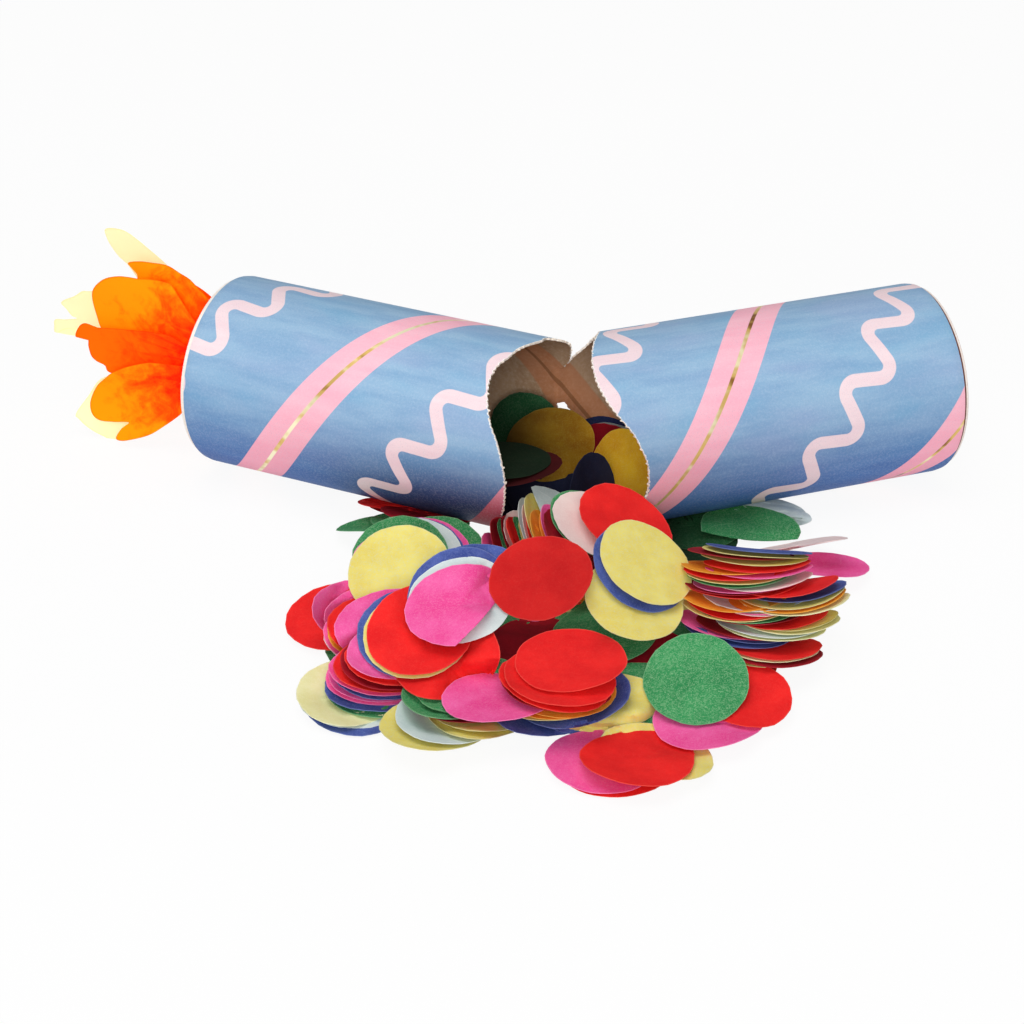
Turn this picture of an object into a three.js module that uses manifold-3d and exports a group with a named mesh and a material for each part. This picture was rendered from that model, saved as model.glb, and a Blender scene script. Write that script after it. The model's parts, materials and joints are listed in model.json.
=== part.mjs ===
// A party cracker that looks like a birthday candle: a card tube torn open across the middle.
// The two halves are still joined by a strip of card at the back, which is a living hinge.
// Paper confetti has spilled from the mouth into a heap, and a tissue paper flame sits on one end.
// X runs along the heap to the right, Y to the back, Z up; the hinge stands upright.
import * as THREE from "three";
import { mergeVertices } from "three/addons/utils/BufferGeometryUtils.js";
import Module from "manifold-3d";

const wasm = await Module();
wasm.setup();

// Driving dimensions, in millimetres and degrees
const TUBE_RADIUS = 25;
const CARD = 0.6;
const GAP = 0.3;

const FLAME_HALF_LENGTH = 83;
const BASE_HALF_LENGTH = 93;
const FLAME_HALF_SWING = 25.8;
const BASE_HALF_SWING = 20;

// The torn edge is a wave round the tube, measured along the tube from the hinge
const TEAR_WAVES = 3;
const TEAR_WAVE = 4;
const TEAR_PHASE = 118;
const FLAME_TEAR = 4.2;
const BASE_TEAR = 2;
const BASE_TEAR_SLANT = 3.7;

const STRIP_LOW = 21.8;
const STRIP_HIGH = 33.1;
const STRIP_WING = 6;
const STRIP_CREASE = 3;

const CAP_PROUD = 1.5;
const CAP_FACE = 1.2;
const CAP_SKIRT = 1;
const CAP_DEPTH = 8;
const FLAME_HOLE_RADIUS = 6;

const KNOT_RADIUS = 8;
const KNOT_BACK_RADIUS = 6;
const KNOT_DEPTH = 5;
const BOSS_RADIUS = 7.5;

const SNAP_WIDTH = 6;
const SNAP_THICKNESS = 0.6;
const SNAP_TIP_BACK = 9;
const SNAP_TIP_BARE = 1;
const SNAP_SLEEVE_LENGTH = 16;
const SNAP_SLEEVE_WALL = 0.4;

const PETAL_THICKNESS = 0.5;
const PETAL_SPREAD = 12;
const PETAL_RIPPLE = 0.8;
const PETAL_RIPPLE_WIDTH = 40;

const DISC_RADIUS = 12.7;
const DISC_THICKNESS = 0.5;
const STACK_PITCH = 0.8;
const HEAP_GAP = 0.35;
const BED_HEIGHT = 2;
const BED_STEP = 0.4;
const HEAP_MIDDLE_AHEAD = 38;

// How stiffly a settling disc keeps the tilt that it was dropped with
const TILT_HOLD = 10;
const STEEP_TILT_HOLD = 60;
const STEEP_LEAN = 30;

const SLEEVE_SIDES = 72;
const CAP_SIDES = 48;
const KNOT_SIDES = 24;
const BOSS_STEPS = 5;
const PETAL_COLUMN = 6;
const PETAL_ROWS = 4;
const DISC_SIDES = 20;

// What follows from them
const BORE_RADIUS = TUBE_RADIUS - CARD;
const SNAP_DROP = Math.sqrt(BORE_RADIUS ** 2 - (SNAP_WIDTH / 2) ** 2) - SNAP_SLEEVE_WALL - 2 * GAP;
const SNAP_TOP = BORE_RADIUS - SNAP_DROP + SNAP_THICKNESS + GAP + SNAP_SLEEVE_WALL;
const SNAP_HALF_ROOM = SNAP_WIDTH / 2 + SNAP_SLEEVE_WALL + 2 * GAP;

const COLOURS = {
  print: 0x90b6d4,
  white_card: 0xece4da,
  grey_card: 0xb9b0a2,
  orange: 0xfe8a10,
  pale_orange: 0xffab35,
  tissue_yellow: 0xfaf0bd,
  red: 0xe0282a,
  magenta: 0xee4796,
  yellow: 0xd9d372,
  green: 0x2f9a5c,
  navy: 0x5065af,
  pink: 0xf0d2cc,
};

const radians = THREE.MathUtils.degToRad;

// Turns every face round when the solid is inside out
function facingOut(geometry) {
  const at = geometry.getAttribute("position");
  const index = geometry.index.array;
  const [a, b, c] = [new THREE.Vector3(), new THREE.Vector3(), new THREE.Vector3()];
  let volume = 0;
  for (let i = 0; i < index.length; i += 3) {
    a.fromBufferAttribute(at, index[i]);
    b.fromBufferAttribute(at, index[i + 1]);
    c.fromBufferAttribute(at, index[i + 2]);
    volume += a.dot(b.cross(c));
  }
  if (volume < 0) {
    for (let i = 0; i < index.length; i += 3) {
      [index[i + 1], index[i + 2]] = [index[i + 2], index[i + 1]];
    }
  }
  return geometry;
}

// The same shape with only positions, its shared vertices merged and its faces outwards
function closed(geometry) {
  const bare = geometry.clone();
  bare.deleteAttribute("normal");
  bare.deleteAttribute("uv");
  return facingOut(mergeVertices(bare, 1e-4));
}

function toSolid(geometry) {
  const bare = closed(geometry);
  return new wasm.Manifold(
    new wasm.Mesh({
      numProp: 3,
      vertProperties: new Float32Array(bare.getAttribute("position").array),
      triVerts: new Uint32Array(bare.index.array),
    }),
  );
}

function toGeometry(solid) {
  const mesh = solid.getMesh();
  return new THREE.BufferGeometry()
    .setAttribute("position", new THREE.BufferAttribute(mesh.vertProperties, 3))
    .setIndex(new THREE.BufferAttribute(mesh.triVerts, 1));
}

function subpart(name, geometry, colour, roughness = 0.8) {
  geometry.computeVertexNormals();
  const material = new THREE.MeshStandardMaterial({
    color: COLOURS[colour],
    roughness,
    metalness: 0,
    flatShading: true,
  });
  const mesh = new THREE.Mesh(geometry, material);
  mesh.name = name;
  return mesh;
}

// A thin closed sheet: pointAt(u, v) is its middle surface, with u and v from 0 to 1
function sheet(pointAt, columns, rows, thickness) {
  const step = 1e-3;
  const across = columns + 1;
  const count = across * (rows + 1);
  const positions = new Float32Array(count * 6);
  for (let j = 0; j <= rows; j++) {
    for (let i = 0; i <= columns; i++) {
      const u = i / columns;
      const v = j / rows;
      const middle = pointAt(u, v);
      const alongU = pointAt(Math.min(u + step, 1), v).sub(pointAt(Math.max(u - step, 0), v));
      const alongV = pointAt(u, Math.min(v + step, 1)).sub(pointAt(u, Math.max(v - step, 0)));
      const half = alongU.cross(alongV).setLength(thickness / 2);
      const k = 3 * (j * across + i);
      positions.set([middle.x + half.x, middle.y + half.y, middle.z + half.z], k);
      positions.set([middle.x - half.x, middle.y - half.y, middle.z - half.z], k + 3 * count);
    }
  }
  const faces = [];
  const quad = (a, b, c, d) => faces.push(a, b, c, a, c, d);
  const id = (i, j) => j * across + i;
  for (let j = 0; j < rows; j++) {
    for (let i = 0; i < columns; i++) {
      quad(id(i, j), id(i + 1, j), id(i + 1, j + 1), id(i, j + 1));
      quad(count + id(i, j), count + id(i, j + 1), count + id(i + 1, j + 1), count + id(i + 1, j));
    }
  }
  for (let i = 0; i < columns; i++) {
    quad(id(i, 0), count + id(i, 0), count + id(i + 1, 0), id(i + 1, 0));
    quad(id(i, rows), id(i + 1, rows), count + id(i + 1, rows), count + id(i, rows));
  }
  for (let j = 0; j < rows; j++) {
    quad(id(0, j), id(0, j + 1), count + id(0, j + 1), count + id(0, j));
    quad(id(columns, j), count + id(columns, j), count + id(columns, j + 1), id(columns, j + 1));
  }
  const geometry = new THREE.BufferGeometry()
    .setAttribute("position", new THREE.BufferAttribute(positions, 3))
    .setIndex(faces);
  return facingOut(geometry);
}

// Each half is laid out as in the whole tube, with the hinge at x = 0 and y = 0.
// Round the tube, an angle of 0 is the back and 90 is the top.
function tearWave(angle) {
  return TEAR_WAVE * Math.cos(radians(TEAR_WAVES * (angle - TEAR_PHASE)));
}

function flameTear(angle) {
  return FLAME_TEAR - tearWave(angle);
}

function baseTear(angle) {
  return BASE_TEAR + BASE_TEAR_SLANT * Math.cos(radians(angle)) - tearWave(angle);
}

function sleeveGeometry(rimX, tearAt) {
  const wall = [
    new THREE.Vector2(BORE_RADIUS, 0),
    new THREE.Vector2(TUBE_RADIUS, 0),
    new THREE.Vector2(TUBE_RADIUS, 1),
    new THREE.Vector2(BORE_RADIUS, 1),
    new THREE.Vector2(BORE_RADIUS, 0),
  ];
  const geometry = new THREE.LatheGeometry(wall, SLEEVE_SIDES);
  const at = geometry.getAttribute("position");
  for (let i = 0; i < at.count; i++) {
    const radius = Math.hypot(at.getX(i), at.getZ(i));
    const angle = Math.atan2(at.getX(i), at.getZ(i));
    const atTear = at.getY(i) > 0.5;
    const x = atTear ? tearAt(THREE.MathUtils.radToDeg(angle)) : rimX;
    const y = radius * Math.cos(angle) - TUBE_RADIUS;
    const z = radius * Math.sin(angle) + TUBE_RADIUS;
    at.setXYZ(i, x, y, z);
  }
  return geometry;
}

// The strip's place is cut out of the sleeve, with a gap all round
function stripWindow() {
  const reach = STRIP_WING + GAP;
  const tall = STRIP_HIGH - STRIP_LOW + 2 * GAP;
  const box = new THREE.BoxGeometry(2 * reach, TUBE_RADIUS / 2, tall);
  box.translate(0, 0, (STRIP_LOW + STRIP_HIGH) / 2);
  return toSolid(box);
}

function sleeve(name, rimX, tearAt) {
  const cut = toSolid(sleeveGeometry(rimX, tearAt)).subtract(stripWindow());
  return subpart(name, toGeometry(cut), "print", 0.6);
}

// The card strip that still joins the halves, bent over its crease
function hingeStrip() {
  const middle = TUBE_RADIUS - CARD / 2;
  const pointAt = (u, v) => {
    const x = (2 * u - 1) * STRIP_WING;
    const z = STRIP_LOW + v * (STRIP_HIGH - STRIP_LOW);
    const y = Math.sqrt(middle ** 2 - (z - TUBE_RADIUS) ** 2) - TUBE_RADIUS;
    const bend = THREE.MathUtils.smoothstep(x, -STRIP_CREASE / 2, STRIP_CREASE / 2);
    const turn = radians(bend * (FLAME_HALF_SWING + BASE_HALF_SWING) - FLAME_HALF_SWING);
    return new THREE.Vector3(
      x * Math.cos(turn) - y * Math.sin(turn),
      x * Math.sin(turn) + y * Math.cos(turn),
      z,
    );
  };
  return subpart("hinge_strip", sheet(pointAt, 12, 4, CARD), "print", 0.6);
}

// Lays a lathed piece along the tube: its height runs outwards from the cap's outer face
function alongTube(geometry, faceX, outwards) {
  geometry.rotateZ(-outwards * Math.PI / 2);
  geometry.translate(faceX, -TUBE_RADIUS, TUBE_RADIUS);
  return geometry;
}

function capGeometry(holeRadius) {
  const outer = BORE_RADIUS - GAP;
  const points = [
    [holeRadius, 0],
    [holeRadius, -CAP_FACE],
    [outer - CAP_SKIRT, -CAP_FACE],
    [outer - CAP_SKIRT, -CAP_DEPTH],
    [outer, -CAP_DEPTH],
    [outer, 0],
    [holeRadius, 0],
  ];
  return new THREE.LatheGeometry(points.map(([r, h]) => new THREE.Vector2(r, h)), CAP_SIDES);
}

// The flame's tissue is gathered through the cap's hole and knotted behind it
function flameKnotGeometry() {
  const neck = FLAME_HOLE_RADIUS - GAP;
  const inner = -CAP_FACE - GAP;
  const points = [
    [0, inner - KNOT_DEPTH],
    [KNOT_BACK_RADIUS, inner - KNOT_DEPTH],
    [KNOT_RADIUS, inner - KNOT_DEPTH / 2],
    [(KNOT_RADIUS + neck) / 2, inner],
    [neck, inner],
    [neck, GAP],
  ];
  for (let i = 0; i <= BOSS_STEPS; i++) {
    const angle = (Math.PI / 2) * (i / BOSS_STEPS);
    const height = GAP + (BOSS_RADIUS - GAP) * Math.sin(angle);
    points.push([i < BOSS_STEPS ? BOSS_RADIUS * Math.cos(angle) : 0, height]);
  }
  return new THREE.LatheGeometry(points.map(([r, h]) => new THREE.Vector2(r, h)), KNOT_SIDES);
}

// Where the edge between two outline corners is met at an angle, all as [degrees, radius]
function edgeRadius(outline, angle) {
  const k = Math.max(1, outline.findIndex(([corner]) => corner >= angle - 1e-9));
  const [a0, r0] = outline[k - 1];
  const [a1, r1] = outline[k];
  const far = r0 * r1 * Math.sin(radians(a1 - a0));
  return far / (r0 * Math.sin(radians(angle - a0)) + r1 * Math.sin(radians(a1 - angle)));
}

// How far a petal stands forwards of the tube's axis, at a radius from the boss
function petalLean(layer, radius) {
  return layer * (1 + radius / PETAL_SPREAD);
}

// The radius at which a petal of one layer meets the round boss
function petalRoot(layer) {
  const seat = BOSS_RADIUS + GAP + PETAL_THICKNESS / 2;
  let radius = seat;
  while (Math.hypot(radius, petalLean(layer, radius)) > seat) radius -= GAP / 10;
  return radius;
}

// One tissue petal: a fan round the boss, whose outline is [degrees up from the axis, radius].
// Its layer says how far it leans towards the front, as the pages of a book do.
function petal({ name, colour, layer, outline }) {
  const first = outline[0][0];
  const last = outline[outline.length - 1][0];
  const inner = petalRoot(layer);
  const pointAt = (u, v) => {
    const angle = first + u * (last - first);
    const radius = inner + v * (edgeRadius(outline, angle) - inner);
    const ripple = PETAL_RIPPLE * v * Math.sin(radians(angle * (360 / PETAL_RIPPLE_WIDTH)));
    const lean = petalLean(layer, radius) + ripple;
    const out = radius * Math.cos(radians(angle));
    const up = radius * Math.sin(radians(angle));
    return new THREE.Vector3(-FLAME_HALF_LENGTH - CAP_PROUD - out, -TUBE_RADIUS - lean, TUBE_RADIUS + up);
  };
  const columns = Math.max(4, Math.round((last - first) / PETAL_COLUMN));
  return subpart(name, sheet(pointAt, columns, PETAL_ROWS, PETAL_THICKNESS), colour);
}

const PETALS = [
  { name: "flame_petal_yellow_top", colour: "tissue_yellow", layer: -2,
    outline: [[24, 36], [30, 47], [33, 51], [36, 49], [41, 42], [46, 33], [56, 24]] },
  { name: "flame_petal_orange_top", colour: "orange", layer: 0,
    outline: [[30, 30], [40, 38], [43, 35], [58, 32], [66, 27], [84, 20]] },
  { name: "flame_petal_big", colour: "pale_orange", layer: 1,
    outline: [[6, 34], [12, 38], [25, 42], [38, 39], [46, 32], [56, 22]] },
  { name: "flame_petal_yellow_tail", colour: "tissue_yellow", layer: -1,
    outline: [[-8, 48], [-5, 60], [-2, 60], [1, 50], [5, 55], [14, 49], [20, 36]] },
  { name: "flame_petal_orange_middle", colour: "orange", layer: 2,
    outline: [[-14, 28], [-3, 32], [2, 36], [9, 41], [14, 38], [24, 30]] },
  { name: "flame_petal_orange_low", colour: "orange", layer: 3,
    outline: [[-74, 20], [-56, 24], [-44, 33], [-39, 37], [-34, 32], [-22, 37], [-6, 31]] },
  { name: "flame_petal_yellow_low", colour: "tissue_yellow", layer: 1.9,
    outline: [[-48, 28], [-38, 38], [-32, 45], [-27, 46], [-17, 34]] },
  { name: "flame_petal_back", colour: "orange", layer: -3.2,
    outline: [[-70, 22], [-40, 36], [-20, 30], [5, 38], [30, 32], [50, 36], [80, 22]] },
];

// A snap strip lies along the bottom of the bore, from the cap to near the torn edge
function snapStrip(name, fromX, toX) {
  const box = new THREE.BoxGeometry(Math.abs(toX - fromX), SNAP_WIDTH, SNAP_THICKNESS);
  box.translate((fromX + toX) / 2, -TUBE_RADIUS, TUBE_RADIUS - SNAP_DROP + SNAP_THICKNESS / 2);
  return subpart(name, box, "grey_card");
}

// The paper band that held the two snap strips face to face stays on one of them
function snapBand(tipX) {
  const middle = TUBE_RADIUS - SNAP_DROP + SNAP_THICKNESS / 2;
  const wide = SNAP_WIDTH + 2 * GAP;
  const tall = SNAP_THICKNESS + 2 * GAP;
  const outer = new THREE.Shape();
  const right = wide / 2 + SNAP_SLEEVE_WALL;
  const top = tall / 2 + SNAP_SLEEVE_WALL;
  outer.moveTo(-right, -top).lineTo(right, -top).lineTo(right, top).lineTo(-right, top).closePath();
  const hole = new THREE.Path();
  hole.moveTo(-wide / 2, -tall / 2).lineTo(-wide / 2, tall / 2);
  hole.lineTo(wide / 2, tall / 2).lineTo(wide / 2, -tall / 2).closePath();
  outer.holes.push(hole);
  const band = new THREE.ExtrudeGeometry(outer, { depth: SNAP_SLEEVE_LENGTH, bevelEnabled: false });
  band.rotateX(Math.PI / 2).rotateZ(Math.PI / 2);
  band.translate(tipX, -TUBE_RADIUS, middle);
  return subpart("snap_band", closed(band), "white_card");
}

// Confetti on the table, from the bottom of the heap to its top. x is counted from the hinge and
// ahead from the front of the whole tube, both in steps of PLACE_STEP. lean is the tilt from flat,
// and toward is the compass angle that the face tilts to, counted from X.
const PLACE_STEP = 1;
const HEAP = [
  { name: "navy_front_left", colour: "navy", x: -46, ahead: 63, lean: 2, toward: 90, layers: 1 },
  { name: "cream_front_left", colour: "yellow", x: -48, ahead: 62, lean: 3, toward: -90, layers: 2 },
  { name: "stack_front_left", colour: "magenta", x: -42, ahead: 61, lean: 4, toward: 170, layers: 4 },
  { name: "stack_front", colour: "yellow", x: -29, ahead: 77, lean: 3, toward: 175, layers: 3 },
  { name: "magenta_front", colour: "magenta", x: -15, ahead: 71, lean: 6, toward: 80, layers: 1 },
  { name: "magenta_low_front", colour: "magenta", x: 8, ahead: 85, lean: 3, toward: -20, layers: 2 },
  { name: "stack_front_middle", colour: "navy", x: 2, ahead: 70, lean: 3, toward: 140, layers: 4 },
  { name: "magenta_front_right", colour: "magenta", x: 32, ahead: 72, lean: 4, toward: 40, layers: 1 },
  { name: "red_front", colour: "red", x: 16, ahead: 88, lean: 5, toward: 60, layers: 1 },
  { name: "red_right", colour: "red", x: 40, ahead: 64, lean: 12, toward: -25, layers: 1 },
  { name: "red_far_left", colour: "red", x: -53, ahead: 28, lean: 6, toward: -130, layers: 1 },
  { name: "stack_left", colour: "magenta", x: -42, ahead: 50, lean: 6, toward: -110, layers: 4 },
  { name: "magenta_left", colour: "magenta", x: -40, ahead: 50, lean: 8, toward: -115, layers: 1 },
  { name: "red_low_left", colour: "red", x: -26, ahead: 63, lean: 16, toward: -130, layers: 1 },
  { name: "stack_back_left", colour: "green", x: -33, ahead: 1, lean: 16, toward: -110, layers: 4 },
  { name: "yellow_left", colour: "yellow", x: -38, ahead: 31, lean: 22, toward: -100, layers: 1 },
  { name: "red_left", colour: "red", x: -33, ahead: 55, lean: 20, toward: -105, layers: 1 },
  { name: "navy_middle_left", colour: "navy", x: -24, ahead: 46, lean: 18, toward: -125, layers: 2 },
  { name: "magenta_middle_left", colour: "magenta", x: -25, ahead: 51, lean: 18, toward: -130, layers: 1 },
  { name: "red_low_middle", colour: "red", x: -2, ahead: 70, lean: 7, toward: -60, layers: 2 },
  { name: "red_middle", colour: "red", x: 2, ahead: 65, lean: 8, toward: -110, layers: 1 },
  { name: "fan_left", colour: "green", x: -6, ahead: 5, lean: 38, toward: -10, layers: 4 },
  { name: "fan_right", colour: "yellow", x: 0, ahead: 3, lean: 38, toward: -12, layers: 4 },
  { name: "pink_mouth", colour: "pink", x: 6, ahead: 6, lean: 45, toward: -50, layers: 2 },
  { name: "red_mouth", colour: "red", x: 16, ahead: 8, lean: 48, toward: -60, layers: 2 },
  { name: "red_centre", colour: "red", x: -5, ahead: 41, lean: 20, toward: -120, layers: 1 },
  { name: "stack_right_low", colour: "pink", x: 47, ahead: 34, lean: 5, toward: 40, layers: 6 },
  { name: "stack_right", colour: "red", x: 44, ahead: 25, lean: 6, toward: 70, layers: 6 },
  { name: "yellow_low_right", colour: "yellow", x: 17, ahead: 41, lean: 24, toward: -50, layers: 1 },
  { name: "yellow_right", colour: "yellow", x: 20, ahead: 31, lean: 34, toward: -30, layers: 2 },
  { name: "magenta_far_right", colour: "magenta", x: 65, ahead: 1, lean: 8, toward: 80, layers: 2 },
  { name: "green_front_right", colour: "green", x: 30, ahead: 64, lean: 24, toward: -80, layers: 1 },
  { name: "green_under_tube", colour: "green", x: 49, ahead: -16, lean: 0, toward: 90, layers: 1 },
];

// Confetti still in the halves. x runs along the whole tube from the hinge, and ahead is counted
// from the tube's axis towards the front.
const IN_FLAME_HALF = [
  { name: "stack_flame", colour: "green", x: -11, ahead: -4, lean: 6, toward: -60, layers: 6 },
  { name: "green_flame", colour: "green", x: -10, ahead: -10, lean: 35, toward: -70, layers: 1 },
];
const IN_BASE_HALF = [
  { name: "navy_base", colour: "navy", x: 16, ahead: -5, lean: 6, toward: 180, layers: 5 },
  { name: "yellow_base", colour: "yellow", x: 13, ahead: 0, lean: 45, toward: 165, layers: 1 },
];

// The lowest layer of the heap: slabs of confetti on the table, pressed together under the rest,
// placed in disc radii from the middle of the heap
const BED_SPOTS = [
  [-3.6, 0.2], [-2.7, 0.9], [-3, -0.8], [-2, -0.2], [-1.9, -1.4], [-0.8, 0.9], [0.2, -0.2], [-0.9, -0.6],
  [0.7, 1.1], [0.2, 2.2], [0.9, -1.4], [3, 1.1], [4, 1.4], [3.6, 0.2], [2.1, 0.2], [2.5, -1.3], [4.7, 0.8],
];

// Heights of what lies on a floor so far, on a grid of 1 mm cells that reaches past every disc
const farthestDisc = Math.max(
  ...[...HEAP, ...IN_FLAME_HALF, ...IN_BASE_HALF].map(({ x, ahead }) => PLACE_STEP * Math.hypot(x, ahead)),
);
const FIELD_REACH = Math.ceil(2 * TUBE_RADIUS + farthestDisc + 2 * DISC_RADIUS);
const FIELD_SIDE = 2 * FIELD_REACH;
const cellOf = (x, y) => Math.round(y + FIELD_REACH) * FIELD_SIDE + Math.round(x + FIELD_REACH);

function heightField(floorAt) {
  const heights = new Float32Array(FIELD_SIDE * FIELD_SIDE);
  for (let y = -FIELD_REACH; y < FIELD_REACH; y++) {
    for (let x = -FIELD_REACH; x < FIELD_REACH; x++) heights[cellOf(x, y)] = floorAt(x, y);
  }
  return heights;
}

// The lower half of a bore, with the snap along its bottom
function boreFloor(x, y) {
  const off = Math.abs(y + TUBE_RADIUS);
  const wall = TUBE_RADIUS - Math.sqrt(Math.max(0, BORE_RADIUS ** 2 - off ** 2));
  return off < SNAP_HALF_ROOM ? Math.max(wall, CARD + SNAP_TOP) : wall;
}

function discGeometry(thickness) {
  const disc = new THREE.CylinderGeometry(DISC_RADIUS, DISC_RADIUS, thickness, DISC_SIDES);
  return disc.rotateX(Math.PI / 2).translate(0, 0, thickness / 2);
}

// The cells of the grid that a tilted disc covers, a little past its edge
function cellsUnder({ x, y, slopeX, slopeY }) {
  const cells = [];
  const reach = DISC_RADIUS + 2 * GAP;
  for (let cy = Math.floor(y - reach); cy <= y + reach; cy++) {
    for (let cx = Math.floor(x - reach); cx <= x + reach; cx++) {
      const rise = slopeX * (cx - x) + slopeY * (cy - y);
      if (Math.hypot(cx - x, cy - y, rise) > reach) continue;
      cells.push({ dx: cx - x, dy: cy - y, cell: cellOf(cx, cy) });
    }
  }
  return cells;
}

// How high a disc's middle has to lie for its lower face to clear what is below
function restHeight(heights, disc) {
  const clear = HEAP_GAP * Math.hypot(1, disc.slopeX, disc.slopeY);
  let rest = 0;
  for (const { dx, dy, cell } of cellsUnder(disc)) {
    rest = Math.max(rest, heights[cell] + clear - disc.slopeX * dx - disc.slopeY * dy);
  }
  return rest;
}

const LARGEST_TILT_STEP = 0.16;
const SMALLEST_TILT_STEP = 0.004;

// Lays a disc down: its tilt gives way from the one that is asked for until it lies low
function layDown(heights, x, y, { lean, toward, layers }) {
  const steep = Math.tan(radians(lean));
  const wanted = { slopeX: -steep * Math.cos(radians(toward)), slopeY: -steep * Math.sin(radians(toward)) };
  const hold = lean > STEEP_LEAN ? STEEP_TILT_HOLD : TILT_HOLD;
  const cost = (disc) => {
    const change = Math.hypot(disc.slopeX - wanted.slopeX, disc.slopeY - wanted.slopeY);
    return restHeight(heights, disc) + hold * change ** 2;
  };
  let best = { x, y, ...wanted };
  let least = cost(best);
  for (let step = LARGEST_TILT_STEP; step > SMALLEST_TILT_STEP; step /= 2) {
    for (let moved = true; moved; ) {
      moved = false;
      for (const [i, j] of [[1, 0], [-1, 0], [0, 1], [0, -1], [1, 1], [-1, -1], [1, -1], [-1, 1]]) {
        const tried = { x, y, slopeX: best.slopeX + i * step, slopeY: best.slopeY + j * step };
        const value = cost(tried);
        if (value < least - 1e-6) [best, least, moved] = [tried, value, true];
      }
    }
  }
  const z = restHeight(heights, best);
  const thickness = DISC_THICKNESS + (layers - 1) * STACK_PITCH;
  const up = new THREE.Vector3(-best.slopeX, -best.slopeY, 1).normalize();
  for (const { dx, dy, cell } of cellsUnder(best)) {
    const top = z + best.slopeX * dx + best.slopeY * dy + thickness / up.z;
    for (const next of [0, 1, -1, FIELD_SIDE, -FIELD_SIDE]) {
      heights[cell + next] = Math.max(heights[cell + next], top);
    }
  }
  return { up, z, thickness };
}

// A pile of confetti on one floor, its pieces counted forwards from the line at fromY
function pile(heights, fromY, pieces) {
  return pieces.map((piece) => {
    const x = piece.x * PLACE_STEP;
    const y = fromY - piece.ahead * PLACE_STEP;
    const { up, z, thickness } = layDown(heights, x, y, piece);
    const mesh = subpart("confetti_" + piece.name, discGeometry(thickness), piece.colour);
    mesh.quaternion.setFromUnitVectors(new THREE.Vector3(0, 0, 1), up);
    mesh.position.set(x, y, z);
    return mesh;
  });
}

function bedMesh(heights) {
  const bed = BED_SPOTS.map(([across, back], i) => {
    const x = across * DISC_RADIUS;
    const y = back * DISC_RADIUS - 2 * TUBE_RADIUS - HEAP_MIDDLE_AHEAD;
    const tall = BED_HEIGHT + BED_STEP * (i % 4);
    for (const { cell } of cellsUnder({ x, y, slopeX: 0, slopeY: 0 })) {
      heights[cell] = Math.max(heights[cell], tall);
    }
    return toSolid(discGeometry(tall).translate(x, y, 0));
  });
  return subpart("confetti_bed", toGeometry(bed.reduce((whole, slab) => whole.add(slab))), "navy");
}

const cracker = new THREE.Group();
const flameHalf = new THREE.Group();
const baseHalf = new THREE.Group();
flameHalf.rotation.z = radians(-FLAME_HALF_SWING);
baseHalf.rotation.z = radians(BASE_HALF_SWING);
cracker.add(flameHalf, baseHalf);

const flameFace = -FLAME_HALF_LENGTH - CAP_PROUD;
const baseFace = BASE_HALF_LENGTH + CAP_PROUD;
const flameSkirt = flameFace + CAP_DEPTH;
const baseSkirt = baseFace - CAP_DEPTH;

flameHalf.add(
  sleeve("flame_half_sleeve", -FLAME_HALF_LENGTH, flameTear),
  subpart("flame_end_cap", closed(alongTube(capGeometry(FLAME_HOLE_RADIUS), flameFace, -1)), "white_card"),
  subpart("flame_knot", closed(alongTube(flameKnotGeometry(), flameFace, -1)), "orange"),
  snapStrip("snap_strip_flame", flameSkirt + GAP, -SNAP_TIP_BACK),
  ...PETALS.map(petal),
  ...pile(heightField(boreFloor), -TUBE_RADIUS, IN_FLAME_HALF),
);
baseHalf.add(
  sleeve("base_half_sleeve", BASE_HALF_LENGTH, baseTear),
  subpart("base_end_cap", closed(alongTube(capGeometry(0), baseFace, 1)), "white_card"),
  snapStrip("snap_strip_base", SNAP_TIP_BACK, baseSkirt - GAP),
  snapBand(SNAP_TIP_BACK + SNAP_TIP_BARE),
  ...pile(heightField(boreFloor), -TUBE_RADIUS, IN_BASE_HALF),
);
cracker.add(hingeStrip());

const table = heightField(() => 0);
cracker.add(bedMesh(table), ...pile(table, -2 * TUBE_RADIUS, HEAP));

// The origin is the middle of the whole object's footprint, on the table
cracker.updateMatrixWorld(true);
const extent = new THREE.Box3().setFromObject(cracker, true);
const middle = extent.getCenter(new THREE.Vector3());
const part = new THREE.Group();
cracker.position.set(-middle.x, -middle.y, -extent.min.z);
part.add(cracker);

export default part;
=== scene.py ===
import json
import math
import random

import bpy
import numpy as np
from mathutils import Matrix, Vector


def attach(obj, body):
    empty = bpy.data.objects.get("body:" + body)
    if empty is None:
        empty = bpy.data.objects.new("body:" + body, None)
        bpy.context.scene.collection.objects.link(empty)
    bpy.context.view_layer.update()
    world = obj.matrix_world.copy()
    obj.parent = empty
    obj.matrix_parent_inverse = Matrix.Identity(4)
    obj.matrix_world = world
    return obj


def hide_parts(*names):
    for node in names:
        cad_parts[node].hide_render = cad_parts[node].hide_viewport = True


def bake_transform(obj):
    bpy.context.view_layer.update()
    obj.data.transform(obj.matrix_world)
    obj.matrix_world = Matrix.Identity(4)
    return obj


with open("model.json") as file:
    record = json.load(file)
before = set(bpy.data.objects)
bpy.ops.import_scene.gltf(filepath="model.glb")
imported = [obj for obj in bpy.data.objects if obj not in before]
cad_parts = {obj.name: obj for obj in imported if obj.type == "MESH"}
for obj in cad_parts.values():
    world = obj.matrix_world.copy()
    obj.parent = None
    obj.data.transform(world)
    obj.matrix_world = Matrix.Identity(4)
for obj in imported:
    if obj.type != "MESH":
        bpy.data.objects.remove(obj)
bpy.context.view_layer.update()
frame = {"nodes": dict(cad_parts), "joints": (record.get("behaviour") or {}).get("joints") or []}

MM = 0.001
RADIUS = 25.0
CARD = 0.55
FLAME_LENGTH = 83.0
BASE_LENGTH = 93.0
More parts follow.
